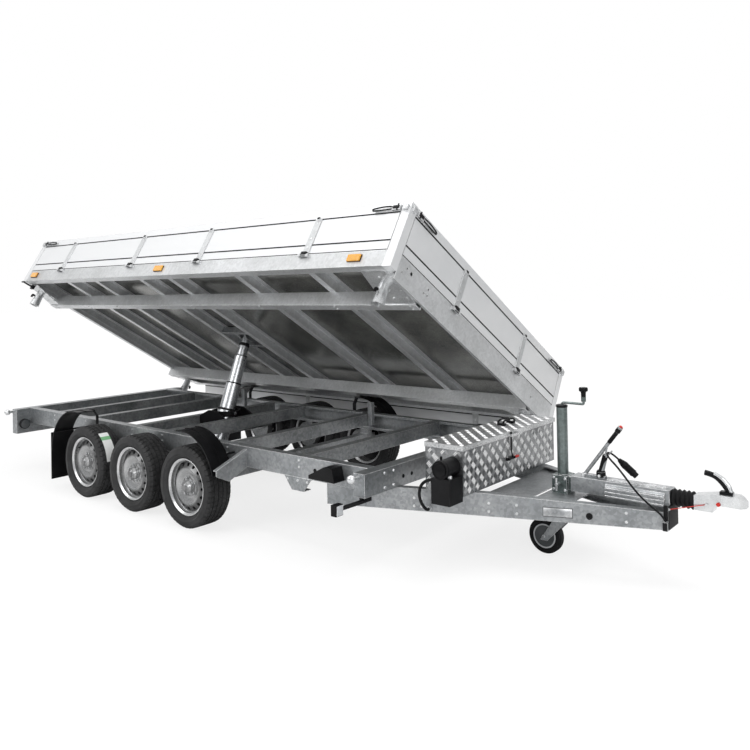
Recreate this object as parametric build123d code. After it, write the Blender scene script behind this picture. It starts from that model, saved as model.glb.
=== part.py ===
from build123d import *
import math
import os

# Stations run along X from the middle axle and heights from the ground. All
# shapes move to the centre of the coupling ball at the end. The bed has its
# own frame: u from its rear end, v from its right edge, w from its rails' underside.

# Fits shared by all pieces
MOVING_GAP = 6
SEAT_GAP = 0.3
PIN_GAP = 0.05
OVERRUN = 20
SHEET = 5

# Tyres and pressed steel rims
TYRE_RADIUS = 263
TYRE_WIDTH = 195
TREAD_WIDTH = 150
SHOULDER_DROP = 16
SHOULDER_INSET = 5
SIDEWALL_RADIUS = 216
BEAD_RADIUS = 172
RIM_FLANGE_RADIUS = 183
RIM_LIP = 9
RIM_WALL = 5
RIM_WIDTH = 150
DISC_SHEET = 6
DISC_EDGE_DEPTH = 40
DISC_CREST_RADIUS = 120
DISC_CREST_DEPTH = 13
DISC_BOLT_RADIUS = 78
DISC_BOLT_DEPTH = 27
VENT_RADIUS = 12
VENT_CIRCLE = 141
VENT_COUNT = 16
VENT_SIDES = 8
HUB_RADIUS = 42
HUB_CAP_RADIUS = 28
HUB_CAP_SLOPE = 8
HUB_FACE_INSET = 6
HUB_TAIL = 44
STUB_END = 28

# Torsion axles, trailing arms and brake drums
WHEEL_PITCH = 615
WHEEL_OUTER_FACE = 988
STUB_RADIUS = 18
AXLE_BOX = 70
AXLE_LEAD = 115
AXLE_RISE = 62
ARM_THICKNESS = 30
ARM_WIDTH = 62
ARM_OFFSET = 10
DRUM_RADIUS = 105
DRUM_WIDTH = 52

# Chassis rails, cross members and end beams
RAIL_OUTER = 742
RAIL_WIDTH = 60
RAIL_TOP = 525
RAIL_HEIGHT = 128
RAIL_LIP = 16
REAR_BEAM_STATION = -1950
END_BEAM_WIDTH = 78
END_CAP = 6
REAR_BEAM_HEIGHT = 210
CROSS_WIDTH = 64
CROSS_HEIGHT = 90
CROSS_SHARES = (0.119, 0.244, 0.6876, 0.8556)
GIMBAL_BAY = 380
GUIDE_SHARES = (0.318, 0.7015)
GUIDE_SIDE = 36
GUIDE_RISE = 92
GUIDE_FOOT = 85
RAIL_BRACKET_SHARE = 0.574928
RAIL_BRACKET_TOP_WIDTH = 226
RAIL_BRACKET_FOOT_WIDTH = 100
RAIL_BRACKET_DROP = 81

# Mudguards: a quarter guard before the front wheels and one behind the rear
GUARD_RADIUS = 332
GUARD_SHEET = 4
GUARD_LIP = 4
GUARD_LIP_WIDTH = 6
GUARD_RIB = 14
GUARD_INNER = 812
GUARD_WIDTH = 156
GUARD_RISE = 27
FRONT_GUARD_BACK = 45
REAR_GUARD_BACK = 155
FRONT_GUARD_ANGLES = (14, 98)
REAR_GUARD_ANGLES = (82, 180)
GUARD_BAR_RADIUS = 7
GUARD_BAR_ANGLES = (35, 152)
GUARD_STAY_WIDTH = 34
GUARD_STAY_DROP = 150
GUARD_STAY_INSET = 32
GUARD_STAY_BEND = 44
FLAP_TOP = 430
FLAP_BOTTOM = 64
FLAP_THICKNESS = 8
GUSSET_AHEAD = 58
GUSSET_TIP = 990
GUSSET_TIP_TOP = 418
GUSSET_TIP_BOTTOM = 382
GUSSET_LOW_SIDE = 890
GUSSET_LOW = 334
GUSSET_FLANGE = 30

# Tipping bed
BED_LENGTH = 4170
BED_WIDTH = 2180
BED_RAIL_HEIGHT = 102
BED_RAIL_WIDTH = 55
BED_RAIL_SHEET = 4
WALL_HEIGHT = 314
WALL_THICKNESS = 28
WALL_GROOVE = 6
WALL_GROOVE_DEPTH = 3
WALL_GROOVE_SHARES = (0.21, 0.81)
FLOOR_HEIGHT = 92
FLOOR_THICKNESS = 3
BED_BEAM_INSET = 325
BED_BEAM_WIDTH = 60
BED_BEAM_TOP = 30
BED_BEAM_DEPTH = 65
BED_BEAM_OVERHANG = 10
MEMBER_SHARES = (0.0163, 0.150, 0.2556, 0.4062, 0.4942, 0.6727, 0.8384, 0.979)
MEMBER_LOWER_FLANGE = 45
MEMBER_UPPER_FLANGE = 50
SKIRT_DROP = 46
SKIRT_FLANGE = 22
SKIRT_HOLE_SHARES = ((0.049, 0.45), (0.064, 0.72), (0.156, 0.45), (0.172, 0.47), (0.170, 0.72), (0.823, 0.48))
SKIRT_HOLE_RADIUS = 6
SKIRT_PORT_SHARES = (0.086, 0.68)
SKIRT_PORT_RADIUS = 12
POST_SIDE = 60
POST_FOOT = 4
POST_RISE = 16
POST_CHAMFER = 14
MARKER_SHARES = (0.040, 0.483, 0.933)
MARKER_LENGTH = 92
MARKER_HEIGHT = 42
MARKER_BASE = 34
MARKER_DEPTH = 14

# Hinges and latches of the drop sides
HINGE_OUT = 14
HINGE_DROP = 17
KNUCKLE_RADIUS = 8
HINGE_PIN_RADIUS = 4
LUG_LENGTH = 14
LUG_GAP = 3
STRAP_WIDTH = 52
STRAP_THICKNESS = 6
STRAP_RISE_SHARE = 0.81
STRAP_CAP = 14
STRAP_SIDE_SHARES = (0.141, 0.389, 0.584, 0.834)
STRAP_END_SHARES = (0.305, 0.695)
LATCH_LENGTH = 56
LATCH_HEIGHT = 34
LATCH_DEPTH = 16
LATCH_DROP = 18
LOOP_LENGTH = 140
LOOP_HEIGHT = 24
LOOP_BAR = 6
KEEPER_WIDTH = 34

# Three-way pivots: ball pins on the chassis, slotted cups under the bed
TILT = 30.9
PIVOT_INSET = 166
PIVOT_DROP = 120
PIVOT_HEIGHT = 507
REAR_PIVOT_INSET = 68
FRONT_PIVOT_INSET = 149
BALL_RADIUS = 25
BALL_PIN_RADIUS = 12
BALL_PIN_REACH = 62
CUP_RADIUS = 40
CUP_TOP_RADIUS = 28
CUP_MOUTH = 152
CUP_SLOT_GAP = 3
CUP_PLATE_THICKNESS = 6
CUP_PLATE_LENGTH = 190
CUP_PLATE_DROP = 52
LOCK_RADIUS = 7
LOCK_ARM = 58
LOCK_DROP = 24

# Telescopic cylinder in its gimbal ring
CYLINDER_BEHIND = 144.836
CYLINDER_HEIGHT = 546
BARREL_RADIUS = 72
BARREL_TOP = 24
BARREL_DEPTH = 338
BARREL_FLOOR = 12
COLLAR_RADIUS = 76
COLLAR_HEIGHT = 18
STAGE_RADII = (62, 52, 42)
STAGE_STANDS = (13, 10, 38)
REACH_SHARES = (0.41, 0.45, 0.14)
STAGE_FLOOR = 8
STAGE_GAP = 9
NECK_RADIUS = 32
HEAD_HEIGHT = 60
EYE_RADIUS = 21.5
EYE_BORE = 17.3
EYE_LENGTH = 52
EYE_PIN_RADIUS = 8
CHEEK_GAP = 7
CHEEK_THICKNESS = 12
CHEEK_HALF_FOOT = 30
CHEEK_DROP = 24
BRACKET_SPREAD = 112
BRACKET_BAR = 26
TRUNNION_RADIUS = 14
RING_INNER = 96
RING_OUTER = 114
RING_HEIGHT = 40
RING_PIN_RADIUS = 16
BEARER_THICKNESS = 12
BEARER_INNER = 132
BEARER_HALF_TOP = 45
BEARER_RISE = 30
BEARER_DEPTH = 80

# Drawbar: stations count forward from the front beam
BEAM_REAR_BEHIND = 363
BEAM_KNEE_AHEAD = 488
BEAM_NOSE_AHEAD = 1343
BEAM_NOSE_OUTER = 72
BEAM_SPREAD = 0.384
BEAM_THICKNESS = 52
BEAM_BOTTOM = 273
BEAM_NOSE_TOP = 363
JACK_PLATE_AHEAD = (697, 897)
JACK_PLATE_SHEET = 6
FLOOR_PLATE_AHEAD = (450, 690)
FLOOR_PLATE_HEIGHT = 370

# Overrun device, bellows, coupling head and safety cable
HITCH_AHEAD = 1662
HITCH_HEIGHT = 445
AXIS_DROP = 17
DEVICE_AHEAD = 837
DEVICE_HALF_WIDTH = 48
DEVICE_RISE = 42
DEVICE_DEPTH = 41
COVER_AHEAD = 1033
COVER_HALF_WIDTH = 58
COVER_BEVEL = 26
COVER_RIB = 8
COVER_RIB_HEIGHT = 4
COVER_RIB_SHARES = (-0.36, 0, 0.36)
TONGUE_LENGTH = 96
TONGUE_RISE = 20
FLANGE_LENGTH = 24
SHAFT_RADIUS = 30
SHAFT_TAIL = 20
BELLOWS_LENGTH = 114
BELLOWS_RADIUS = 46
BELLOWS_VALLEY = 37
BELLOWS_FOLDS = 5
HEAD_HALF_WIDTH = 42
HEAD_NECK_HALF = 36
HEAD_REACH = 57
HEAD_RISE = 38
HEAD_SKIRT = 14
HEAD_SHOULDER = 80
HEAD_TIP_HALF = 20
BALL_SOCKET = 25.4
HANDLE_ROUTE_SHARES = ((-0.26, 0.55), (-0.7, 1.55), (-1.47, 2.2), (-2.55, 2.6))
HANDLE_RADIUS = 11
HANDLE_BEND = 40
SAFETY_CABLE_RADIUS = 2
CABLE_EYE_RADIUS = 6

# Handbrake lever with its gas spring, and the rest of the plug's cable
LEVER_FOOT_AHEAD = 897
LEVER_KNEE = (1026, 651)
LEVER_TIP = (1105, 756)
LEVER_RADIUS = 10
LEVER_BEND = 90
LEVER_CAP_RADIUS = 14
LEVER_CAP_LENGTH = 34
LEVER_STAND_LENGTH = 120
LEVER_STAND_HEIGHT = 14
SPRING_FOOT_AHEAD = 990
SPRING_TOP = (1018, 600)
SPRING_RADIUS = 14
SPRING_ROD_RADIUS = 5
SPRING_BASE_RADIUS = 24
SPRING_BASE_HEIGHT = 34
REST_RADIUS = 4
REST_REACH = 26

# Toolbox and pump
BOX_AHEAD = (201, 447)
BOX_RIGHT = -528
BOX_LEFT = 545
BOX_TOP = 668
BOX_WALL = 3
LID_THICKNESS = 26
LID_LIP = 8
LID_HINGE_SHARES = (0.2, 0.8)
LID_KNUCKLE_WIDTH = 60
LID_HANDLE_HALF = 60
LID_HANDLE_REACH = 26
LID_HANDLE_BAR = 12
PUMP_AHEAD = (327, 443)
PUMP_WIDTH = 120
PUMP_BOTTOM = 372
PUMP_SPLIT = 508
MOTOR_RADIUS = 48
MOTOR_HEIGHT = 556

# Jack with jockey wheel
JACK_AHEAD = 769
JACK_RADIUS = 30
JACK_TOP = 848
JACK_BOTTOM = 300
CLAMP_HALF = 45
CLAMP_HEIGHT = 100
CRANK_REACH = 130
CRANK_RISE = 14
CRANK_RADIUS = 7
CRANK_GRIP_RADIUS = 13
CRANK_GRIP_LENGTH = 80
JOCKEY_TRAIL = 110
JOCKEY_RADIUS = 100
JOCKEY_WIDTH = 50
JOCKEY_SHOULDER = 9
FORK_SHEET = 5
FORK_TUBE = 60
FORK_WAIST = 25
FORK_TIP = 21
JOCKEY_AXLE_RADIUS = 8

# Chocks and lamps
CHOCK_BEHIND = 310
CHOCK_LENGTH = 200
CHOCK_WIDTH = 90
CHOCK_HEIGHT = 80
CHOCK_NOSE = 20
CHOCK_LIFT = 36
LAMP_ARM_INSETS = (72, 32)
LAMP_DROP = 55
LAMP_BACK = 72
LAMP_REACH = 128
LAMP_HEIGHT = 60
LAMP_LENGTH = 38
LAMP_WIDTH = 56
LAMP_BAR_RADIUS = 12
REAR_LAMP_SIDE = (470, 760)
REAR_LAMP_HEIGHT = 100
REAR_LAMP_DEPTH = 26
REAR_LAMP_RAISE = 30
REAR_DISC_SIDE = 800
REAR_DISC_RADIUS = 42
REAR_DISC_DEPTH = 30

# Routes of the hose and of the plug's cable, stations forward from the front beam
HOSE_RADIUS = 8.5
HOSE_ROUTE = ((268, -600, 480), (219, -600, 444), (203.5, -600, 386), (225, -597, 331), (227, -553, 295))
CABLE_RADIUS = 5
CABLE_ROUTE = ((1356, -80, 320.6), (1342, -90, 354), (1286, -104, 396), (1218, -113, 458), (1133, -112, 564),
               (1073.6, -112, 618), (1058, -75.6, 632), (1073.6, -39.2, 618), (1106, -39.2, 592))
CABLE_CLIP_WIDTH = 16
CABLE_CLIP_TOP = 318
PLUG_LENGTH = 120
PLUG_RADIUS = 20
PLUG_NOSE_RADIUS = 16
PLUG_BOOT_RADIUS = 11
PLUG_BOOT_SHARE = 0.28
PLUG_NOSE_SHARE = 0.84
BEND_SHARE = 0.45


def span(middle, width):
    """Low and high end of a width about its middle."""
    return middle - width / 2, middle + width / 2


def block(x, y, z):
    """Box between three pairs of low and high ends."""
    size = [abs(high - low) for low, high in (x, y, z)]
    return Pos(sum(x) / 2, sum(y) / 2, sum(z) / 2) * Box(*size)


def rod(a, b, radius):
    """Round bar between two points."""
    a, b = Vector(a), Vector(b)
    low = (Align.CENTER, Align.CENTER, Align.MIN)
    return Plane(origin=a, z_dir=b - a) * Cylinder(radius, (b - a).length, align=low)


def bent_rod(points, bend, radius):
    """Round bar along a path whose corners are bends."""
    path = FilletPolyline(*points, radius=bend)
    return sweep(Plane(origin=path @ 0, z_dir=path % 0) * Circle(radius), path=path)


def plate(points, travel):
    """Flat outline of points, swept along a vector."""
    outline = Wire.make_polygon([Vector(*p) for p in points], close=True)
    return Solid.extrude(Face(outline), Vector(*travel))


def turned(outline):
    """Solid turned round Z from an outline of radius and height pairs."""
    return revolve(Plane.XZ * make_face(Polyline(*outline, close=True)), Axis.Z)


def fused(shapes):
    whole = shapes[0]
    for shape in shapes[1:]:
        whole = whole + shape
    return whole


def both_sides(shape):
    return [shape, mirror(shape, about=Plane.XZ)]


def channel_cut(x, y, z, wall, lip):
    """Room inside a lipped channel along X that opens towards the middle plane."""
    inside = block((x[0] - OVERRUN, x[1] + OVERRUN), (y[0] + wall, y[1] - wall), (z[0] + wall, z[1] - wall))
    mouth = block((x[0] - OVERRUN, x[1] + OVERRUN), (y[0] - OVERRUN, y[0] + 2 * wall), (z[0] + lip, z[1] - lip))
    return inside + mouth


SHAPES = {}


def keep(node, shapes):
    """Collect the solids of one node."""
    shapes = shapes if isinstance(shapes, list) else [shapes]
    SHAPES[node] = [s for shape in shapes for s in shape.solids()]


# Places that several pieces share
bed_rear = REAR_BEAM_STATION - REAR_PIVOT_INSET
front_station = bed_rear + BED_LENGTH - FRONT_PIVOT_INSET
hitch_station = front_station + HITCH_AHEAD
cylinder_station = -CYLINDER_BEHIND
pivot_side = BED_WIDTH / 2 - PIVOT_INSET
beam_end = pivot_side - BALL_PIN_REACH
rail_bottom = RAIL_TOP - RAIL_HEIGHT
rail_inner = RAIL_OUTER - RAIL_WIDTH
front_beam = span(front_station, END_BEAM_WIDTH)
rear_beam = span(REAR_BEAM_STATION, END_BEAM_WIDTH)
wheel_base = front_station - REAR_BEAM_STATION
pin_stations = (REAR_BEAM_STATION, front_station)
device_axis = HITCH_HEIGHT - AXIS_DROP
device_top = device_axis + DEVICE_RISE
device_bottom = device_axis - DEVICE_DEPTH
nose = front_station + BEAM_NOSE_AHEAD


def side_rails():
    """Lipped channels, with the posts that guide the lowered bed inside them."""
    x = (rear_beam[1] + SEAT_GAP, front_beam[0] - SEAT_GAP)
    y, z = (rail_inner, RAIL_OUTER), (rail_bottom, RAIL_TOP)
    rail = block(x, y, z) - channel_cut(x, y, z, SHEET, RAIL_LIP)
    inner = rail_inner - SEAT_GAP
    posts = [block(span(REAR_BEAM_STATION + share * wheel_base, GUIDE_SIDE), (inner - GUIDE_SIDE, inner),
                   (RAIL_TOP - GUIDE_FOOT, RAIL_TOP + GUIDE_RISE)) for share in GUIDE_SHARES]
    return both_sides(rail) + posts


def cross_members():
    """Channels between the rails, open to the rear."""
    inner = rail_inner - SEAT_GAP
    stations = [REAR_BEAM_STATION + share * wheel_base for share in CROSS_SHARES]
    stations += [cylinder_station - GIMBAL_BAY / 2, cylinder_station + GIMBAL_BAY / 2]
    shapes = []
    for x in stations:
        z = (RAIL_TOP - CROSS_HEIGHT, RAIL_TOP)
        body = block(span(x, CROSS_WIDTH), (-inner, inner), z)
        room = block((x - CROSS_WIDTH, x + CROSS_WIDTH / 2 - SHEET), (-inner + SHEET, inner - SHEET),
                     (z[0] + SHEET, z[1] - SHEET))
        shapes.append(body - room)
    return shapes


def end_beams():
    """Closed beams across both ends; the rear one is deeper."""
    shapes = []
    for x, height in ((front_beam, RAIL_HEIGHT), (rear_beam, REAR_BEAM_HEIGHT)):
        z = (RAIL_TOP - height, RAIL_TOP)
        body = block(x, (-beam_end, beam_end), z)
        room = block((x[0] + SHEET, x[1] - SHEET), (END_CAP - beam_end, beam_end - END_CAP),
                     (z[0] + SHEET, z[1] - SHEET))
        shapes.append(body - room)
    return shapes


def ball_pins():
    shapes = []
    for x in pin_stations:
        bar = rod((x, beam_end + SEAT_GAP, PIVOT_HEIGHT), (x, pivot_side, PIVOT_HEIGHT), BALL_PIN_RADIUS)
        shapes += both_sides(bar + Pos(x, pivot_side, PIVOT_HEIGHT) * Sphere(BALL_RADIUS))
    return shapes


def rail_brackets():
    """Folded bracket under each rail and gusset plate before each front guard."""
    x = WHEEL_PITCH + (front_station - WHEEL_PITCH) * RAIL_BRACKET_SHARE
    y = RAIL_OUTER
    top, foot = span(x, RAIL_BRACKET_TOP_WIDTH), span(x, RAIL_BRACKET_FOOT_WIDTH)
    high, low = rail_bottom - SEAT_GAP, rail_bottom - RAIL_BRACKET_DROP
    face = plate([(top[0], y, high), (top[1], y, high), (foot[1], y, low), (foot[0], y, low)], (0, -SHEET, 0))
    face += block(top, (rail_inner, y), (high - SHEET, high))
    face += block(foot, (rail_inner, y), (low, low + SHEET))
    x = front_guard[0] + GUARD_RADIUS + GUSSET_AHEAD
    inner = RAIL_OUTER + SEAT_GAP
    side = [(x, inner, RAIL_TOP - RAIL_LIP), (x, GUSSET_TIP, GUSSET_TIP_TOP), (x, GUSSET_TIP, GUSSET_TIP_BOTTOM),
            (x, GUSSET_LOW_SIDE, GUSSET_LOW), (x, inner, rail_bottom)]
    gusset = plate(side, (-SHEET, 0, 0))
    gusset += plate([side[0], side[1], (x, GUSSET_TIP, GUSSET_TIP_TOP - SHEET),
                     (x, inner, RAIL_TOP - RAIL_LIP - SHEET)], (-GUSSET_FLANGE, 0, 0))
    return both_sides(face) + both_sides(gusset)


def axle_beams():
    """Torsion axle tubes with trailing arms, brake drums and stub axles."""
    arm_inner = RAIL_OUTER + ARM_OFFSET
    arm_outer = arm_inner + ARM_THICKNESS
    height = TYRE_RADIUS + AXLE_RISE
    stub_side = WHEEL_OUTER_FACE - TYRE_WIDTH / 2 + STUB_END
    shapes = []
    for k in (-1, 0, 1):
        x = k * WHEEL_PITCH
        lead = span(x + AXLE_LEAD, AXLE_BOX)
        parts = [block(lead, (-arm_inner, arm_inner), span(height, AXLE_BOX))]
        half = ARM_WIDTH / 2
        arm = plate([(x + AXLE_LEAD + half, arm_inner, height + half), (x + AXLE_LEAD + half, arm_inner, height - half),
                     (x - half, arm_inner, TYRE_RADIUS - half), (x - half, arm_inner, TYRE_RADIUS + half)],
                    (0, ARM_THICKNESS, 0))
        side = arm + block(lead, (rail_inner, RAIL_OUTER), (height, rail_bottom - SEAT_GAP))
        side += rod((x, arm_outer - SHEET, TYRE_RADIUS), (x, arm_outer + DRUM_WIDTH, TYRE_RADIUS), DRUM_RADIUS)
        side += rod((x, arm_outer, TYRE_RADIUS), (x, stub_side, TYRE_RADIUS), STUB_RADIUS)
        shapes.append(fused(parts + both_sides(side)))
    return shapes


# Middle of each guard's curve, as station and height
front_guard = (WHEEL_PITCH - FRONT_GUARD_BACK, TYRE_RADIUS + GUARD_RISE)
rear_guard = (-WHEEL_PITCH - REAR_GUARD_BACK, TYRE_RADIUS + GUARD_RISE)


def curved_sheet(centre, radius, sheet, angles, y):
    """Sheet bent round an axis along Y between two angles, in degrees from forward."""
    outer = CenterArc((0, 0), radius, angles[0], angles[1] - angles[0])
    inner = CenterArc((0, 0), radius - sheet, angles[0], angles[1] - angles[0])
    face = make_face([outer, inner, Line(outer @ 0, inner @ 0), Line(outer @ 1, inner @ 1)])
    return Pos(centre[0], y[1], centre[1]) * extrude(Plane.XZ * face, y[1] - y[0])


def one_guard(centre, angles, bar_angle, stay_angle):
    """Quarter guard with rolled edges, a middle rib, and the bars that hold it."""
    y = (GUARD_INNER, GUARD_INNER + GUARD_WIDTH)
    guard = curved_sheet(centre, GUARD_RADIUS, GUARD_SHEET, angles, y)
    edges = ((y[0], y[0] + GUARD_LIP_WIDTH), (y[1] - GUARD_LIP_WIDTH, y[1]), span(sum(y) / 2, GUARD_RIB))
    for edge in edges:
        guard += curved_sheet(centre, GUARD_RADIUS + GUARD_LIP, GUARD_LIP + GUARD_SHEET, angles, edge)
    reach = GUARD_RADIUS - GUARD_SHEET - GUARD_BAR_RADIUS / 2
    x = centre[0] + reach * math.cos(math.radians(bar_angle))
    z = centre[1] + reach * math.sin(math.radians(bar_angle))
    guard += rod((x, RAIL_OUTER + SEAT_GAP, z), (x, y[1] - GUARD_LIP_WIDTH, z), GUARD_BAR_RADIUS)
    x = centre[0] + reach * math.cos(math.radians(stay_angle))
    low, high = centre[1] + reach - GUARD_STAY_DROP, centre[1] + reach
    side, bend = y[0] - GUARD_STAY_INSET, high - GUARD_STAY_BEND
    first, last = span(x, GUARD_STAY_WIDTH)
    outline = [(side, low), (side + GUARD_SHEET, low), (side + GUARD_SHEET, bend), (y[0] + GUARD_SHEET, high),
               (y[0], high), (side, bend)]
    stay = plate([(first, a, b) for a, b in outline], (last - first, 0, 0))
    foot = block((first, last), (RAIL_OUTER + SEAT_GAP, side + GUARD_SHEET), (low, low + GUARD_SHEET))
    return guard + stay + foot


def mudguards():
    """Quarter guards with the flaps that hang behind the rear ones."""
    front = one_guard(front_guard, FRONT_GUARD_ANGLES, GUARD_BAR_ANGLES[0], FRONT_GUARD_ANGLES[1] - 4)
    rear = one_guard(rear_guard, REAR_GUARD_ANGLES, GUARD_BAR_ANGLES[1], REAR_GUARD_ANGLES[0] + 4)
    back = rear_guard[0] - GUARD_RADIUS - GUARD_LIP - SEAT_GAP
    flap = block((back - FLAP_THICKNESS, back), (GUARD_INNER - GUARD_STAY_INSET, GUARD_INNER + GUARD_WIDTH),
                 (FLAP_BOTTOM, FLAP_TOP))
    return both_sides(front) + both_sides(rear) + both_sides(flap)


def beam_side(x):
    """Outer side of the drawbar's right or left beam at a station."""
    return BEAM_NOSE_OUTER + BEAM_SPREAD * (nose - x)


def drawbar():
    """Two deep channels of a V that open inwards, a jack plate and a floor plate."""
    tail, knee = front_station - BEAM_REAR_BEHIND, front_station + BEAM_KNEE_AHEAD
    top = rail_bottom - SEAT_GAP
    corners = ((tail, BEAM_BOTTOM), (nose, BEAM_BOTTOM), (nose, BEAM_NOSE_TOP), (knee, top), (tail, top))
    beam = plate([(x, beam_side(x), z) for x, z in corners], (0, -BEAM_THICKNESS, 0))
    inside = ((tail - OVERRUN, BEAM_BOTTOM + SHEET), (nose + OVERRUN, BEAM_BOTTOM + SHEET),
              (nose + OVERRUN, BEAM_NOSE_TOP - SHEET), (knee, top - SHEET), (tail - OVERRUN, top - SHEET))
    beam -= plate([(x, beam_side(x) - SHEET, z) for x, z in inside], (0, -BEAM_THICKNESS, 0))
    shapes = both_sides(beam)
    for ahead, z, sheet in ((JACK_PLATE_AHEAD, BEAM_NOSE_TOP, JACK_PLATE_SHEET),
                            (FLOOR_PLATE_AHEAD, FLOOR_PLATE_HEIGHT, GUARD_SHEET)):
        outline = []
        for x, side in ((ahead[0], 1), (ahead[1], 1), (ahead[1], -1), (ahead[0], -1)):
            x = front_station + x
            outline.append((x, side * (beam_side(x) - SHEET), z - sheet))
        shapes.append(plate(outline, (0, 0, sheet)))
    bore = Pos(front_station + JACK_AHEAD, 0, BEAM_NOSE_TOP) * Cylinder(JACK_RADIUS + SEAT_GAP, CLAMP_HEIGHT)
    shapes[2] = shapes[2] - bore
    return [fused(shapes)]


def overrun_housing():
    """Device between the beams, its ribbed cover, the nose flange and the sliding shaft."""
    rear = front_station + DEVICE_AHEAD
    front = nose + FLANGE_LENGTH
    parts = [block((rear, front), (-DEVICE_HALF_WIDTH, DEVICE_HALF_WIDTH), (device_bottom, device_top))]
    half, bevel = COVER_HALF_WIDTH, COVER_BEVEL
    x = front_station + COVER_AHEAD
    profile = [(x, -half, device_bottom), (x, half, device_bottom), (x, half, device_top - bevel),
               (x, half - bevel, device_top), (x, bevel - half, device_top), (x, -half, device_top - bevel)]
    cover_length = nose - x
    parts.append(plate(profile, (cover_length, 0, 0)))
    for share in COVER_RIB_SHARES:
        parts.append(block((x, nose), span(share * 2 * (half - bevel), COVER_RIB),
                           (device_top - SHEET, device_top + COVER_RIB_HEIGHT)))
        z = device_bottom + (share + BEND_SHARE) * (DEVICE_RISE + DEVICE_DEPTH - bevel)
        for side in (-1, 1):
            parts.append(block((x, nose), (side * (half - SHEET), side * (half + COVER_RIB_HEIGHT)),
                               span(z, COVER_RIB)))
    inner = BEAM_NOSE_OUTER - BEAM_THICKNESS - SEAT_GAP
    parts.append(block((nose - TONGUE_LENGTH, nose + SHEET), (-inner, inner),
                       (BEAM_BOTTOM + TONGUE_RISE, device_bottom + SHEET)))
    parts.append(block((nose + SEAT_GAP, front), (-BEAM_NOSE_OUTER, BEAM_NOSE_OUTER),
                       (BEAM_BOTTOM, device_bottom + SHEET)))
    x, y, z = safety_eye()
    parts.append(rod((x, y - CABLE_EYE_RADIUS, z), (x, y + CABLE_EYE_RADIUS, z), CABLE_EYE_RADIUS))
    clip = -BEAM_NOSE_OUTER - CABLE_CLIP_WIDTH
    parts.append(block((nose + SEAT_GAP, front), (clip, -BEAM_NOSE_OUTER), (BEAM_BOTTOM, CABLE_CLIP_TOP)))
    parts.append(rod((front - SHEET, 0, device_axis), (front + BELLOWS_LENGTH + SHAFT_TAIL, 0, device_axis),
                     SHAFT_RADIUS))
    return fused(parts)


def safety_eye():
    """Middle of the pin on the nose flange that holds the safety cable."""
    return nose + FLANGE_LENGTH + CABLE_EYE_RADIUS / 2, CABLE_EYE_RADIUS - BEAM_NOSE_OUTER, device_bottom - CABLE_EYE_RADIUS


def bellows():
    """Folded rubber sleeve over the shaft."""
    step = BELLOWS_LENGTH / BELLOWS_FOLDS
    outline = [(SHAFT_RADIUS + SEAT_GAP, SEAT_GAP), (BELLOWS_VALLEY, SEAT_GAP)]
    for k in range(BELLOWS_FOLDS):
        outline += [(BELLOWS_RADIUS, (k + 0.5) * step), (BELLOWS_VALLEY, (k + 1) * step)]
    outline.append((SHAFT_RADIUS + SEAT_GAP, BELLOWS_LENGTH))
    return Pos(nose + FLANGE_LENGTH, 0, device_axis) * Rot(0, 90, 0) * turned(outline)


def coupling_head():
    """Pressed head over the ball, with its lift handle and a stud for the cable."""
    rear = nose + FLANGE_LENGTH + BELLOWS_LENGTH + SEAT_GAP
    tip = hitch_station + HEAD_REACH
    shoulder = hitch_station - HEAD_SHOULDER
    low, high = HITCH_HEIGHT - HEAD_SKIRT, HITCH_HEIGHT + HEAD_RISE
    side = [(rear, device_axis - HEAD_NECK_HALF), (rear, device_axis + HEAD_NECK_HALF), (shoulder, high),
            (hitch_station + HEAD_TIP_HALF, high), (tip, HITCH_HEIGHT + HEAD_SKIRT), (tip, low),
            (shoulder, low), (shoulder - HEAD_SKIRT, device_axis - HEAD_NECK_HALF)]
    top = [(rear, HEAD_NECK_HALF), (shoulder, HEAD_NECK_HALF), (hitch_station - HEAD_NECK_HALF, HEAD_HALF_WIDTH),
           (hitch_station + HEAD_NECK_HALF, HEAD_HALF_WIDTH), (tip, HEAD_TIP_HALF)]
    top += [(x, -y) for x, y in reversed(top)]
    body = plate([(x, -HEAD_HALF_WIDTH, z) for x, z in side], (0, 2 * HEAD_HALF_WIDTH, 0))
    body = body & plate([(x, y, 0) for x, y in top], (0, 0, HITCH_HEIGHT * 2))
    route = [(hitch_station + a * HEAD_NECK_HALF, 0, HITCH_HEIGHT + b * HEAD_NECK_HALF * 1.4)
             for a, b in HANDLE_ROUTE_SHARES]
    body += bent_rod(route, HANDLE_BEND, HANDLE_RADIUS)
    stud = safety_stud()
    body += rod((stud[0], -HEAD_NECK_HALF + SHEET, stud[2]), (stud[0], stud[1] - CABLE_EYE_RADIUS, stud[2]), CABLE_EYE_RADIUS)
    socket = Pos(hitch_station, 0, HITCH_HEIGHT) * Sphere(BALL_SOCKET)
    throat = rod((hitch_station, 0, low - OVERRUN), (hitch_station, 0, HITCH_HEIGHT), BALL_SOCKET)
    shaft = rod((rear - OVERRUN, 0, device_axis), (rear + SHAFT_TAIL + SEAT_GAP, 0, device_axis),
                SHAFT_RADIUS + SEAT_GAP)
    return body - socket - throat - shaft


def safety_stud():
    """Middle of the stud on the coupling head that holds the safety cable."""
    return hitch_station - HEAD_SHOULDER - 2 * HEAD_TIP_HALF, -HEAD_NECK_HALF - CABLE_EYE_RADIUS, device_axis


def safety_cable():
    start, end = Vector(*safety_eye()), Vector(*safety_stud())
    along = (end - start).normalized() * (CABLE_EYE_RADIUS + SEAT_GAP)
    return rod(start + along, end - along, SAFETY_CABLE_RADIUS)


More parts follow.
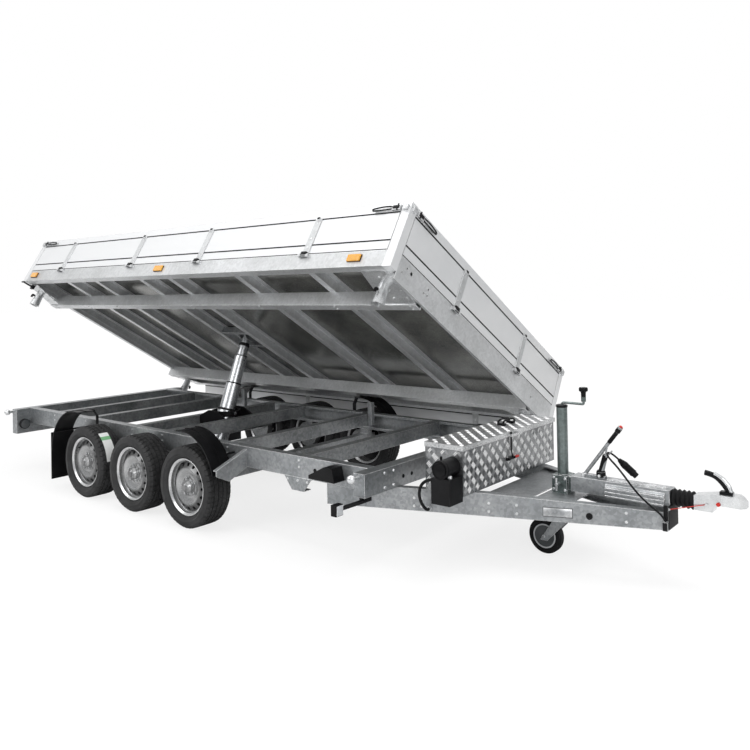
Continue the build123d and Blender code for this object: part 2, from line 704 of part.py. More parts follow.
def handbrake():
    """Lever with its gas spring on a stand, and the hook that the plug's cable hangs over."""
    low = device_top + SEAT_GAP
    foot = (front_station + LEVER_FOOT_AHEAD, 0, low + LEVER_STAND_HEIGHT / 2)
    knee = (front_station + LEVER_KNEE[0], 0, LEVER_KNEE[1])
    tip = (front_station + LEVER_TIP[0], 0, LEVER_TIP[1])
    along = (Vector(*tip) - Vector(*knee)).normalized() * LEVER_CAP_LENGTH
    parts = [bent_rod([foot, knee, tip], LEVER_BEND, LEVER_RADIUS)]
    parts.append(rod(Vector(*tip) - along, tip, LEVER_CAP_RADIUS))
    stand_front = foot[0] + LEVER_STAND_LENGTH
    parts.append(block((foot[0] - LEVER_CAP_RADIUS, stand_front), (-LEVER_CAP_RADIUS, LEVER_CAP_RADIUS),
                       (low, low + LEVER_STAND_HEIGHT)))
    base = (front_station + SPRING_FOOT_AHEAD, 0, low)
    top = (front_station + SPRING_TOP[0], 0, SPRING_TOP[1])
    parts.append(rod(base, (base[0], 0, low + SPRING_BASE_HEIGHT), SPRING_BASE_RADIUS))
    parts.append(rod((base[0], 0, low + SPRING_BASE_HEIGHT / 2), top, SPRING_RADIUS))
    parts.append(rod(top, (knee[0], 0, knee[2] - LEVER_RADIUS), SPRING_ROD_RADIUS))
    middle, along = cable_rest()
    parts.append(bent_rod([top, middle - along, middle + along], SPRING_RADIUS, REST_RADIUS))
    return fused(parts)


def jack_tube():
    """Jack tube with its clamp, and the crank on top."""
    x = front_station + JACK_AHEAD
    tube = rod((x, 0, JACK_BOTTOM), (x, 0, JACK_TOP), JACK_RADIUS)
    clamp_low = BEAM_NOSE_TOP + SEAT_GAP
    tube += block(span(x, 2 * CLAMP_HALF), (-CLAMP_HALF - SHEET, CLAMP_HALF + SHEET),
                  (clamp_low, clamp_low + CLAMP_HEIGHT))
    tube += block((x, front_station + DEVICE_AHEAD - SEAT_GAP), (-JACK_RADIUS, JACK_RADIUS),
                  (device_bottom, device_top - 2 * SHEET))
    base, arm = JACK_TOP + SEAT_GAP, JACK_TOP + CRANK_RISE
    end = x + CRANK_REACH
    grip = arm + CRANK_RISE + CRANK_GRIP_LENGTH
    crank = bent_rod([(x, 0, base), (x, 0, arm), (end, 0, arm), (end, 0, arm + CRANK_RISE + CRANK_RADIUS)],
                     CRANK_RADIUS, CRANK_RADIUS)
    crank += rod((end, 0, arm + CRANK_RISE), (end, 0, grip), CRANK_GRIP_RADIUS)
    return [tube, crank]


def jockey_fork():
    """Swivel tube with a crown and two cheeks that trail back to the wheel."""
    x = front_station + JACK_AHEAD
    top = JACK_BOTTOM - SEAT_GAP
    half = JOCKEY_WIDTH / 2 + MOVING_GAP
    crown = top - FORK_TUBE
    axle = (x - JOCKEY_TRAIL, JOCKEY_RADIUS)
    parts = [rod((x, 0, crown), (x, 0, top), JACK_RADIUS - SHEET)]
    parts.append(block(span(x, 2 * JACK_RADIUS), (-half - FORK_SHEET, half + FORK_SHEET), span(crown, 2 * FORK_SHEET)))
    cheek = [(x + FORK_WAIST, half, crown), (x - FORK_WAIST, half, crown),
             (axle[0] - FORK_TIP, half, axle[1] - FORK_TIP), (axle[0] + FORK_TIP, half, axle[1] - FORK_TIP),
             (x + FORK_WAIST, half, crown - 2 * FORK_TIP)]
    parts += both_sides(plate(cheek, (0, FORK_SHEET, 0)))
    reach = half + FORK_SHEET + JOCKEY_AXLE_RADIUS
    parts.append(rod((axle[0], -reach, axle[1]), (axle[0], reach, axle[1]), JOCKEY_AXLE_RADIUS))
    return fused(parts)


def jockey_wheel():
    bore, half = JOCKEY_AXLE_RADIUS + PIN_GAP, JOCKEY_WIDTH / 2
    outline = [(bore, -half), (JOCKEY_RADIUS - JOCKEY_SHOULDER, -half), (JOCKEY_RADIUS, JOCKEY_SHOULDER - half),
               (JOCKEY_RADIUS, half - JOCKEY_SHOULDER), (JOCKEY_RADIUS - JOCKEY_SHOULDER, half), (bore, half)]
    x = front_station + JACK_AHEAD - JOCKEY_TRAIL
    return Pos(x, 0, JOCKEY_RADIUS) * Rot(90, 0, 0) * turned(outline)


# Toolbox
box_x = (front_station + BOX_AHEAD[0], front_station + BOX_AHEAD[1])
box_y = (BOX_RIGHT, BOX_LEFT)
box_hinge = (box_x[0] - KNUCKLE_RADIUS - SEAT_GAP, BOX_TOP - LID_THICKNESS)


def lid_hinge_sides():
    return [BOX_RIGHT + share * (BOX_LEFT - BOX_RIGHT) for share in LID_HINGE_SHARES]


def toolbox():
    """Open box of chequer plate with the pins of its lid's hinges behind."""
    x, z = box_hinge
    bottom, top = rail_bottom + SEAT_GAP, BOX_TOP - LID_THICKNESS - SEAT_GAP
    box = block(box_x, box_y, (bottom, top))
    box -= block((box_x[0] + BOX_WALL, box_x[1] - BOX_WALL), (BOX_RIGHT + BOX_WALL, BOX_LEFT - BOX_WALL),
                 (bottom + BOX_WALL, BOX_TOP))
    near = LID_KNUCKLE_WIDTH / 2 + LUG_GAP
    far = near + LUG_LENGTH
    for y in lid_hinge_sides():
        box += rod((x, y - far, z), (x, y + far, z), HINGE_PIN_RADIUS)
        for side in (-1, 1):
            ends = (y + side * near, y + side * far)
            box += block((x - KNUCKLE_RADIUS, box_x[0] - LUG_GAP), ends,
                         (z - KNUCKLE_RADIUS, z + HINGE_PIN_RADIUS + SEAT_GAP))
            box += block((x - KNUCKLE_RADIUS, box_x[0]), ends, (z - KNUCKLE_RADIUS, z - HINGE_PIN_RADIUS))
    return box


def toolbox_lid():
    """Folded lid that laps over the box's front and ends, with knuckles and a handle."""
    x, z = box_hinge
    front = box_x[1] + LID_LIP
    y = (BOX_RIGHT - LID_LIP, BOX_LEFT + LID_LIP)
    lid = block((box_x[0], front), y, (BOX_TOP - LID_THICKNESS, BOX_TOP))
    lid -= block((box_x[0] + BOX_WALL, front - BOX_WALL), (y[0] + BOX_WALL, y[1] - BOX_WALL),
                 (BOX_TOP - LID_THICKNESS - OVERRUN, BOX_TOP - BOX_WALL))
    for side in lid_hinge_sides():
        ends = span(side, LID_KNUCKLE_WIDTH)
        leaf = block((x, box_x[0] + BOX_WALL), ends, (z + HINGE_PIN_RADIUS, z + KNUCKLE_RADIUS))
        leaf += rod((x, ends[0], z), (x, ends[1], z), KNUCKLE_RADIUS)
        lid += leaf - rod((x, ends[0] - OVERRUN, z), (x, ends[1] + OVERRUN, z), HINGE_PIN_RADIUS + PIN_GAP)
    reach, bar = front + LID_HANDLE_REACH, LID_HANDLE_BAR
    middle = sum(box_y) / 2
    handle = block((front - BOX_WALL, reach), span(middle, 2 * LID_HANDLE_HALF), (BOX_TOP - 2 * bar, BOX_TOP - bar))
    handle -= block((front, reach - bar), span(middle, 2 * (LID_HANDLE_HALF - bar)), (BOX_TOP - 3 * bar, BOX_TOP))
    return lid + handle


def hand_pump():
    """Tank and motor of the pump on the box's right end."""
    x = (front_station + PUMP_AHEAD[0], front_station + PUMP_AHEAD[1])
    y = (BOX_RIGHT - LID_LIP - PUMP_WIDTH, BOX_RIGHT - SEAT_GAP)
    middle = sum(x) / 2
    return block(x, y, (PUMP_BOTTOM, PUMP_SPLIT)) + rod((middle, y[0], MOTOR_HEIGHT), (middle, y[1], MOTOR_HEIGHT),
                                                        MOTOR_RADIUS)


def wheel_chocks():
    """Wedges stowed outside the rails."""
    x, y, low = front_station - CHOCK_BEHIND, RAIL_OUTER + SEAT_GAP, rail_bottom + CHOCK_LIFT
    wedge = [(x - CHOCK_LENGTH / 2, y, low), (x + CHOCK_LENGTH / 2, y, low),
             (x + CHOCK_LENGTH / 2 - CHOCK_NOSE, y, low + CHOCK_HEIGHT), (x + CHOCK_NOSE, y, low + CHOCK_HEIGHT),
             (x - CHOCK_LENGTH / 2, y, low + CHOCK_NOSE)]
    return both_sides(plate(wedge, (0, CHOCK_WIDTH, 0)))


def front_lamps():
    """Position lamps on arms below the front beam's ends."""
    z = rail_bottom - LAMP_DROP
    x = front_station - LAMP_BACK
    arm_x = span(front_station, END_BEAM_WIDTH - 2 * LAMP_BAR_RADIUS)
    arm_y = [beam_end - inset for inset in LAMP_ARM_INSETS]
    side = beam_end + LAMP_REACH - LAMP_WIDTH / 2
    arm = block(arm_x, arm_y, (rail_bottom - LAMP_DROP / 2, rail_bottom - SEAT_GAP))
    bar = rod((front_station, sum(arm_y) / 2, rail_bottom - LAMP_DROP / 2), (x, side, z), LAMP_BAR_RADIUS)
    lamp = block(span(x, LAMP_LENGTH), span(side, LAMP_WIDTH), span(z, LAMP_HEIGHT))
    return both_sides(arm + bar + lamp)


def rear_lamps():
    """Lamp clusters behind the rear beam, and the round lamp cups before it."""
    rear, front = rear_beam[0] - SEAT_GAP, rear_beam[1] + SEAT_GAP
    low = RAIL_TOP - REAR_BEAM_HEIGHT + REAR_LAMP_RAISE
    lamp = block((rear - REAR_LAMP_DEPTH, rear), REAR_LAMP_SIDE, (low, low + REAR_LAMP_HEIGHT))
    z = low + REAR_LAMP_RAISE + REAR_DISC_RADIUS / 2
    disc = rod((front, REAR_DISC_SIDE, z), (front + REAR_DISC_DEPTH, REAR_DISC_SIDE, z), REAR_DISC_RADIUS)
    return both_sides(lamp) + both_sides(disc)


def gimbal_mount():
    """Ring that holds the barrel's trunnions, on bearers between two cross members."""
    x, z = cylinder_station, CYLINDER_HEIGHT
    mount = Pos(x, 0, z) * (Cylinder(RING_OUTER, RING_HEIGHT) - Cylinder(RING_INNER, RING_HEIGHT + OVERRUN))
    seat = RAIL_TOP - BEARER_DEPTH
    ends = span(x, GIMBAL_BAY - CROSS_WIDTH - 2 * SEAT_GAP)
    outline = [(ends[0], seat), (ends[1], seat), (ends[1], RAIL_TOP), (x + BEARER_HALF_TOP, z + BEARER_RISE),
               (x - BEARER_HALF_TOP, z + BEARER_RISE), (ends[0], RAIL_TOP)]
    for side in (-1, 1):
        mount -= rod((x + side * (RING_INNER - OVERRUN), 0, z), (x + side * (RING_OUTER + OVERRUN), 0, z),
                     TRUNNION_RADIUS + PIN_GAP)
        mount += rod((x, side * (RING_OUTER - SHEET), z), (x, side * (BEARER_INNER + BEARER_THICKNESS), z),
                     RING_PIN_RADIUS)
        y = side * BEARER_INNER
        mount += plate([(a, y, b) for a, b in outline], (0, side * BEARER_THICKNESS, 0))
    return mount


# Cylinder, built upright over its pivot and leaned to the bed's eye
bed_pivot = (BED_WIDTH - PIVOT_INSET, -PIVOT_DROP)
tilt = math.radians(TILT)
head_v = BED_WIDTH / 2 - bed_pivot[0]
head_w = HEAD_HEIGHT - bed_pivot[1]
head_y = pivot_side + head_v * math.cos(tilt) + head_w * math.sin(tilt)
head_z = PIVOT_HEIGHT - head_v * math.sin(tilt) + head_w * math.cos(tilt)
lean = math.degrees(math.atan2(head_y, head_z - CYLINDER_HEIGHT))
reach = math.hypot(head_y, head_z - CYLINDER_HEIGHT)
reach_down = pivot_side + head_v
retracted = math.hypot(reach_down, PIVOT_HEIGHT + head_w - CYLINDER_HEIGHT)
extension = reach - retracted


def cylinder_parts():
    """Barrel and three stages; each stage's foot rests inside the one before it."""
    place = Pos(cylinder_station, 0, CYLINDER_HEIGHT) * Rot(-lean, 0, 0)
    low = (Align.CENTER, Align.CENTER, Align.MIN)
    depth = BARREL_DEPTH - BARREL_FLOOR
    barrel = Pos(0, 0, -BARREL_DEPTH) * Cylinder(BARREL_RADIUS, BARREL_DEPTH + BARREL_TOP, align=low)
    barrel += Pos(0, 0, BARREL_TOP - COLLAR_HEIGHT) * Cylinder(COLLAR_RADIUS, COLLAR_HEIGHT, align=low)
    for side in (-1, 1):
        barrel += rod((side * (BARREL_RADIUS - SHEET), 0, 0), (side * (RING_OUTER - SHEET), 0, 0), TRUNNION_RADIUS)
    barrel -= Pos(0, 0, -depth) * Cylinder(STAGE_RADII[0] + SEAT_GAP, depth + BARREL_TOP + OVERRUN, align=low)
    keep("cylinder_barrel", place * barrel)
    rest_top, floor, moved = BARREL_TOP, -depth, 0
    for k, name in enumerate(("one", "two", "three")):
        rest_top += STAGE_STANDS[k]
        foot = floor + STAGE_GAP
        moved += REACH_SHARES[k] * extension
        tube = Pos(0, 0, foot) * Cylinder(STAGE_RADII[k], rest_top - foot, align=low)
        floor = foot + STAGE_FLOOR
        if k < 2:
            tube -= Pos(0, 0, floor) * Cylinder(STAGE_RADII[k + 1] + SEAT_GAP, rest_top - floor + OVERRUN, align=low)
        else:
            eye = reach - moved
            tube += Pos(0, 0, rest_top) * Cylinder(NECK_RADIUS, eye - rest_top, align=low)
            tube -= rod((-NECK_RADIUS - OVERRUN, 0, eye), (-EYE_LENGTH / 2, 0, eye), EYE_RADIUS)
            tube -= rod((EYE_LENGTH / 2, 0, eye), (NECK_RADIUS + OVERRUN, 0, eye), EYE_RADIUS)
            tube = tube - Pos(0, 0, eye) * Box(3 * NECK_RADIUS, 3 * NECK_RADIUS, EYE_RADIUS)
            tube += rod((-EYE_LENGTH / 2, 0, eye), (EYE_LENGTH / 2, 0, eye), EYE_RADIUS)
            tube -= rod((-NECK_RADIUS, 0, eye), (NECK_RADIUS, 0, eye), EYE_BORE)
        keep("cylinder_stage_" + name, place * Pos(0, 0, moved) * tube)


def bed_place(shape):
    """From the bed's own frame to its tipped place on the left pivots."""
    flat = Pos(bed_rear, -bed_pivot[0], -bed_pivot[1]) * shape
    return Pos(0, pivot_side, PIVOT_HEIGHT) * Rot(-TILT, 0, 0) * flat


# Mirror planes and the quarter turn that brings a side piece to the front end
wall_low = BED_RAIL_HEIGHT + SEAT_GAP
across = Plane(origin=(0, BED_WIDTH / 2, 0), z_dir=(0, 1, 0))
lengthways = Plane(origin=(BED_LENGTH / 2, 0, 0), z_dir=(1, 0, 0))
turn = Pos(BED_LENGTH, 0, 0) * Rot(0, 0, 90)
side_stations = [share * BED_LENGTH for share in STRAP_SIDE_SHARES]
end_stations = [share * BED_WIDTH for share in STRAP_END_SHARES]


def bed_frame():
    """Four hollow rails between the corner posts, with the drop sides' hinge lugs."""
    room, wall = POST_SIDE + SEAT_GAP, BED_RAIL_SHEET
    z = (0, BED_RAIL_HEIGHT)
    side = block((room, BED_LENGTH - room), (0, BED_RAIL_WIDTH), z)
    side -= block((0, BED_LENGTH), (wall, BED_RAIL_WIDTH - wall), (wall, z[1] - wall))
    for u in side_stations:
        side += Pos(0, 0, wall_low) * hinge_lugs(u)
    end = block((BED_LENGTH - BED_RAIL_WIDTH, BED_LENGTH), (room, BED_WIDTH - room), z)
    end -= block((BED_LENGTH - BED_RAIL_WIDTH + wall, BED_LENGTH - wall), (0, BED_WIDTH), (wall, z[1] - wall))
    for v in end_stations:
        end += turn * Pos(0, 0, wall_low) * hinge_lugs(v)
    rear = mirror(end, about=lengthways)
    front = end + block((BED_LENGTH - wall, BED_LENGTH), (room, BED_WIDTH - room), (-SKIRT_DROP, wall))
    front += block((BED_LENGTH - SKIRT_FLANGE, BED_LENGTH), (room, BED_WIDTH - room), (-SKIRT_DROP, wall - SKIRT_DROP))
    holes = [(v, w, SKIRT_HOLE_RADIUS) for v, w in SKIRT_HOLE_SHARES] + [(*SKIRT_PORT_SHARES, SKIRT_PORT_RADIUS)]
    for v, w, radius in holes:
        y, z = v * BED_WIDTH, w * (BED_RAIL_HEIGHT + SKIRT_DROP) - SKIRT_DROP
        front -= rod((BED_LENGTH - 2 * wall, y, z), (BED_LENGTH + OVERRUN, y, z), radius)
    return [side, mirror(side, about=across), front, rear]


def bed_floor():
    inner = BED_RAIL_WIDTH + SEAT_GAP
    room = block((0, POST_SIDE + SEAT_GAP), (0, POST_SIDE + SEAT_GAP), (0, BED_RAIL_HEIGHT))
    floor = block((inner, BED_LENGTH - inner), (inner, BED_WIDTH - inner), (FLOOR_HEIGHT, FLOOR_HEIGHT + FLOOR_THICKNESS))
    corners = [room, mirror(room, about=across)]
    for corner in corners + [mirror(c, about=lengthways) for c in corners]:
        floor -= corner
    return floor


def bed_beams():
    """Two closed longitudinal beams under the cross members."""
    u = (BED_BEAM_OVERHANG, BED_LENGTH - SKIRT_FLANGE - SEAT_GAP)
    v = (BED_BEAM_INSET, BED_BEAM_INSET + BED_BEAM_WIDTH)
    w = (-BED_BEAM_DEPTH, 0 - SEAT_GAP)
    beam = block(u, v, w)
    beam -= block((u[0] - OVERRUN, u[1] + OVERRUN), (v[0] + SHEET, v[1] - SHEET), (w[0] + SHEET, w[1] - SHEET))
    inner = BED_RAIL_WIDTH + SEAT_GAP
    beam += block((inner, BED_LENGTH - inner), v, (w[1] - SHEET, BED_BEAM_TOP - SEAT_GAP))
    return [beam, mirror(beam, about=across)]


def bed_members():
    """Z-section cross members under the floor."""
    low, high, wall = BED_BEAM_TOP, FLOOR_HEIGHT - SEAT_GAP, BED_RAIL_SHEET
    inner = BED_RAIL_WIDTH + SEAT_GAP
    shapes = []
    for share in MEMBER_SHARES:
        u = share * BED_LENGTH
        back, ahead = u - MEMBER_LOWER_FLANGE, u + MEMBER_UPPER_FLANGE
        back = max(back, POST_SIDE + SEAT_GAP)
        ahead = min(ahead, BED_LENGTH - POST_SIDE - SEAT_GAP)
        outline = [(back, low), (u + wall, low), (u + wall, high - wall), (ahead, high - wall), (ahead, high),
                   (u, high), (u, low + wall), (back, low + wall)]
        shapes.append(plate([(a, inner, b) for a, b in outline], (0, BED_WIDTH - 2 * inner, 0)))
    return shapes


def corner_sockets():
    """Inverted cups with a slot for the ball's pin, on slanted plates at the corners."""
    low = (Align.CENTER, Align.CENTER, Align.MIN)
    bore = BALL_RADIUS + SEAT_GAP
    slot = BALL_PIN_RADIUS + CUP_SLOT_GAP
    cup = Pos(0, 0, -CUP_MOUTH) * Cone(CUP_RADIUS, CUP_TOP_RADIUS, CUP_MOUTH - CUP_PLATE_THICKNESS, align=low)
    shapes = []
    for station, toward in zip(pin_stations, (1, -1)):
        u = station - bed_rear
        outer = (BED_RAIL_WIDTH, -SEAT_GAP)
        inner = (BED_BEAM_INSET - SEAT_GAP, -CUP_PLATE_DROP)
        end = BED_BEAM_OVERHANG if toward > 0 else BED_LENGTH - SKIRT_FLANGE - SEAT_GAP
        first = min(end, u + toward * CUP_PLATE_LENGTH / 2)
        last = max(end, u + toward * CUP_PLATE_LENGTH / 2)
        wall = CUP_PLATE_THICKNESS
        seat = outer[0] - 2 * wall
        slanted = plate([(first, seat, outer[1]), (first, *outer), (first, *inner), (first, inner[0], inner[1] - wall),
                         (first, outer[0], outer[1] - wall), (first, seat, outer[1] - wall)], (last - first, 0, 0))
        post = POST_SIDE + SEAT_GAP
        foot = (0, post) if toward > 0 else (BED_LENGTH - post, BED_LENGTH)
        near = Pos(u, PIVOT_INSET, 0) * cup + (slanted - block(foot, (0, post), (-CUP_PLATE_DROP, 0)))
        lock = [(u, PIVOT_INSET - CUP_TOP_RADIUS, -CUP_MOUTH / 2), (u, PIVOT_INSET - LOCK_ARM, -CUP_MOUTH / 2),
                (u, PIVOT_INSET - LOCK_ARM, -CUP_MOUTH / 2 - LOCK_DROP)]
        near += bent_rod(lock, LOCK_RADIUS, LOCK_RADIUS)
        room = Pos(0, 0, -CUP_MOUTH - OVERRUN) * Cylinder(bore, CUP_MOUTH - PIVOT_DROP + OVERRUN, align=low)
        room += Pos(0, 0, -PIVOT_DROP) * Sphere(bore)
        room += block((-slot, slot), (0, CUP_RADIUS + OVERRUN), (-CUP_MOUTH - OVERRUN, slot - PIVOT_DROP))
        near -= Pos(u, PIVOT_INSET, 0) * room
        shapes += [near, mirror(near, about=across)]
    return shapes


def corner_posts():
    """Posts that close the frame's corners and stand up between the drop sides."""
    top = BED_RAIL_HEIGHT + WALL_HEIGHT + POST_RISE
    post = block((0, POST_SIDE), (0, POST_SIDE), (-POST_FOOT, top))
    post = chamfer(post.faces().sort_by(Axis.Z)[-1].edges(), POST_CHAMFER)
    pair = [post, mirror(post, about=across)]
    return pair + [mirror(p, about=lengthways) for p in pair]


def side_markers():
    shapes = []
    for share in MARKER_SHARES:
        marker = block(span(share * BED_LENGTH, MARKER_LENGTH), (-MARKER_DEPTH, -SEAT_GAP),
                       (MARKER_BASE, MARKER_BASE + MARKER_HEIGHT))
        shapes += [marker, mirror(marker, about=across)]
    return shapes


def cylinder_bracket():
    """Two bars between cross members and the cheeks that hold the eye's pin."""
    u, v = cylinder_station - bed_rear, BED_WIDTH / 2
    top = FLOOR_HEIGHT - BED_RAIL_SHEET - 2 * SEAT_GAP
    behind, ahead = [share * BED_LENGTH for share in MEMBER_SHARES[3:5]]
    ends = (behind + BED_RAIL_SHEET + SEAT_GAP, ahead - SEAT_GAP)
    parts = []
    for side in (-1, 1):
        parts.append(block(ends, span(v + side * BRACKET_SPREAD, BRACKET_BAR),
                           (BED_BEAM_TOP + BED_RAIL_SHEET + SEAT_GAP, top)))
        face = u + side * (EYE_LENGTH / 2 + CHEEK_GAP)
        cheek = [(face, v - BRACKET_SPREAD, top), (face, v + BRACKET_SPREAD, top),
                 (face, v + CHEEK_HALF_FOOT, HEAD_HEIGHT - CHEEK_DROP), (face, v - CHEEK_HALF_FOOT, HEAD_HEIGHT - CHEEK_DROP)]
        parts.append(plate(cheek, (side * CHEEK_THICKNESS, 0, 0)))
    half = EYE_LENGTH / 2 + CHEEK_GAP + CHEEK_THICKNESS + SEAT_GAP
    parts.append(rod((u - half, v, HEAD_HEIGHT), (u + half, v, HEAD_HEIGHT), EYE_PIN_RADIUS))
    return fused(parts)


def wall(length):
    """Drop side lying along X, outer face at y = 0, its foot at z = 0, with two grooves outside."""
    height = WALL_HEIGHT - SEAT_GAP
    panel = block((0, length), (0, WALL_THICKNESS), (0, height))
    for share in WALL_GROOVE_SHARES:
        panel -= block((0, length), (-OVERRUN, WALL_GROOVE_DEPTH), span(share * height, WALL_GROOVE))
    return panel


def strap(at):
    """Strap outside a wall, capped at its top, its foot rolled round the hinge pin."""
    x = span(at, STRAP_WIDTH)
    top = WALL_HEIGHT * STRAP_RISE_SHARE
    body = block(x, (-STRAP_THICKNESS, -SEAT_GAP), (-HINGE_DROP, top))
    body += block(span(at, STRAP_WIDTH / 2), (-2 * STRAP_THICKNESS, -SEAT_GAP), (top - STRAP_CAP, top))
    body += block(x, (-HINGE_OUT, -SEAT_GAP), (-HINGE_DROP, KNUCKLE_RADIUS - HINGE_DROP))
    body += rod((x[0], -HINGE_OUT, -HINGE_DROP), (x[1], -HINGE_OUT, -HINGE_DROP), KNUCKLE_RADIUS)
    return body - rod((x[0] - OVERRUN, -HINGE_OUT, -HINGE_DROP), (x[1] + OVERRUN, -HINGE_OUT, -HINGE_DROP),
                      HINGE_PIN_RADIUS + PIN_GAP)


def latch(end, inward):
    """Toggle at a wall's end, with the loop that pulls it, along the wall's top."""
    z = (WALL_HEIGHT - LATCH_DROP - LATCH_HEIGHT, WALL_HEIGHT - LATCH_DROP)
    far = end + inward * LATCH_LENGTH
    body = block((end, far), (-LATCH_DEPTH, -SEAT_GAP), z)
    middle = sum(z) / 2
    out = (-LATCH_DEPTH, LOOP_BAR - LATCH_DEPTH)
    loop = block((far - inward * LOOP_BAR, far + inward * LOOP_LENGTH), out, span(middle, LOOP_HEIGHT))
    loop -= block((far, far + inward * (LOOP_LENGTH - LOOP_BAR)), (-2 * LATCH_DEPTH, 0),
                  span(middle, LOOP_HEIGHT - 2 * LOOP_BAR))
    return body + loop


def hinge_lugs(at):
    """Two lugs on the bed rail with the pin between them."""
    near = STRAP_WIDTH / 2 + LUG_GAP
    far = near + LUG_LENGTH
    z = span(-HINGE_DROP, 2 * KNUCKLE_RADIUS)
    lugs = [block((at + side * near, at + side * far), (-HINGE_OUT - KNUCKLE_RADIUS, 0), z) for side in (-1, 1)]
    pin = rod((at - far, -HINGE_OUT, -HINGE_DROP), (at + far, -HINGE_OUT, -HINGE_DROP), HINGE_PIN_RADIUS)
    return lugs[0] + pin + lugs[1]


wall_start = POST_SIDE + MOVING_GAP
plumb = 180 - TILT


def hanging(shape):
    """The left drop side let down on its hinge pins, plumb beside the tipped bed."""
    hinge = Pos(0, BED_WIDTH + HINGE_OUT, wall_low - HINGE_DROP)
    return hinge * Rot(-plumb, 0, 0) * hinge.inverse() * shape


def bed_walls():
    lift = Pos(0, 0, wall_low)
    side_end, end_end = BED_LENGTH - wall_start, BED_WIDTH - wall_start
    right = Pos(wall_start, 0, 0) * lift * wall(side_end - wall_start)
    front = turn * lift * Pos(wall_start, 0, 0) * wall(end_end - wall_start)
    side = [lift * strap(u) for u in side_stations] + [lift * latch(wall_start, 1), lift * latch(side_end, -1)]
    end = [turn * lift * strap(v) for v in end_stations]
    end += [turn * lift * latch(wall_start, 1), turn * lift * latch(end_end, -1)]
    keep("right_wall", bed_place(right))
    keep("left_wall", bed_place(hanging(mirror(right, about=across))))
    keep("front_wall", bed_place(front))
    keep("rear_wall", bed_place(mirror(front, about=lengthways)))
    keep("right_wall_fittings", [bed_place(s) for s in side])
    keep("left_wall_fittings", [bed_place(hanging(mirror(s, about=across))) for s in side])
    keep("front_wall_fittings", [bed_place(s) for s in end])
    keep("rear_wall_fittings", [bed_place(mirror(s, about=lengthways)) for s in end])


def latch_keepers():
    """Keepers on both outer faces of each post, which the toggles close on."""
    top = wall_low + WALL_HEIGHT - LATCH_DROP
    middle = POST_SIDE / 2
    keeper = block(span(middle, KEEPER_WIDTH), (-LATCH_DEPTH, -SEAT_GAP), (top - LATCH_HEIGHT, top))
    pair = [keeper, mirror(keeper, about=lengthways)]
    end = turn * keeper
    pair += [end, mirror(end, about=lengthways)]
    return pair + [mirror(k, about=across) for k in pair]


def tyre():
    half, tread = TYRE_WIDTH / 2, TREAD_WIDTH / 2
    bead = RIM_WIDTH / 2 - RIM_LIP - SEAT_GAP
    outline = [(BEAD_RADIUS, bead), (RIM_FLANGE_RADIUS + SEAT_GAP, bead), (SIDEWALL_RADIUS, half),
               (TYRE_RADIUS - SHOULDER_DROP, half - SHOULDER_INSET), (TYRE_RADIUS, tread)]
    return turned(outline + [(r, -h) for r, h in reversed(outline)])


def rim():
    """Rim barrel, vented disc and hub with its cap; the stub axle's bore is blind."""
    half = RIM_WIDTH / 2
    seat = BEAD_RADIUS - SEAT_GAP
    inner = seat - RIM_WALL
    barrel = [(RIM_FLANGE_RADIUS, half), (seat, half - RIM_LIP), (seat, RIM_LIP - half), (RIM_FLANGE_RADIUS, -half),
              (RIM_FLANGE_RADIUS - RIM_WALL, -half), (inner, RIM_LIP - half), (inner, half - RIM_LIP),
              (RIM_FLANGE_RADIUS - RIM_WALL, half)]
    face = [(inner + RIM_WALL / 2, half - DISC_EDGE_DEPTH), (DISC_CREST_RADIUS, half - DISC_CREST_DEPTH),
            (DISC_BOLT_RADIUS, half - DISC_BOLT_DEPTH), (HUB_RADIUS - RIM_WALL, half - DISC_BOLT_DEPTH)]
    disc = turned(face + [(r, h - DISC_SHEET) for r, h in reversed(face)])
    vents = Sketch() + PolarLocations(VENT_CIRCLE, VENT_COUNT) * RegularPolygon(VENT_RADIUS, VENT_SIDES)
    disc -= extrude(vents, RIM_WIDTH)
    bore, top = STUB_RADIUS + PIN_GAP, TYRE_WIDTH / 2 - HUB_FACE_INSET
    hub = [(bore, -HUB_TAIL), (HUB_RADIUS, -HUB_TAIL), (HUB_RADIUS, half - DISC_CREST_DEPTH),
           (HUB_CAP_RADIUS, top - HUB_CAP_SLOPE), (HUB_CAP_RADIUS - HUB_CAP_SLOPE, top), (0, top),
           (0, STUB_END + SHEET), (bore, STUB_END + SHEET)]
    return turned(barrel) + disc + turned(hub)


def wheel_parts():
    middle = WHEEL_OUTER_FACE - TYRE_WIDTH / 2
    shapes = {"tyre": Rot(-90, 0, 0) * tyre(), "rim": Rot(-90, 0, 0) * rim()}
    for k, place in ((1, "front"), (0, "middle"), (-1, "rear")):
        for kind, shape in shapes.items():
            left = Pos(k * WHEEL_PITCH, middle, TYRE_RADIUS) * shape
            keep(kind + "_" + place + "_left", left)
            keep(kind + "_" + place + "_right", mirror(left, about=Plane.XZ))


def bend_radius(a, b, c):
    """Largest arc at b that leaves a little straight on both of its runs."""
    half_turn = math.radians((b - a).get_angle(c - b)) / 2
    return BEND_SHARE * min((b - a).length, (c - b).length) / math.tan(half_turn)


def cable_rest():
    """Middle and half length of the bar that the cable hangs over at the top of its route."""
    top = max(range(len(CABLE_ROUTE)), key=lambda k: CABLE_ROUTE[k][-1])
    a, b, c = [Vector(front_station + x, y, z) for x, y, z in CABLE_ROUTE[top - 1:top + 2]]
    radius = bend_radius(a, b, c)
    half_turn = math.radians((b - a).get_angle(c - b)) / 2
    inward = ((a - b).normalized() + (c - b).normalized()).normalized()
    middle = b + inward * (radius / math.cos(half_turn) - radius + CABLE_RADIUS + SEAT_GAP + REST_RADIUS)
    return middle, (b - a).cross(b - c).normalized() * REST_REACH


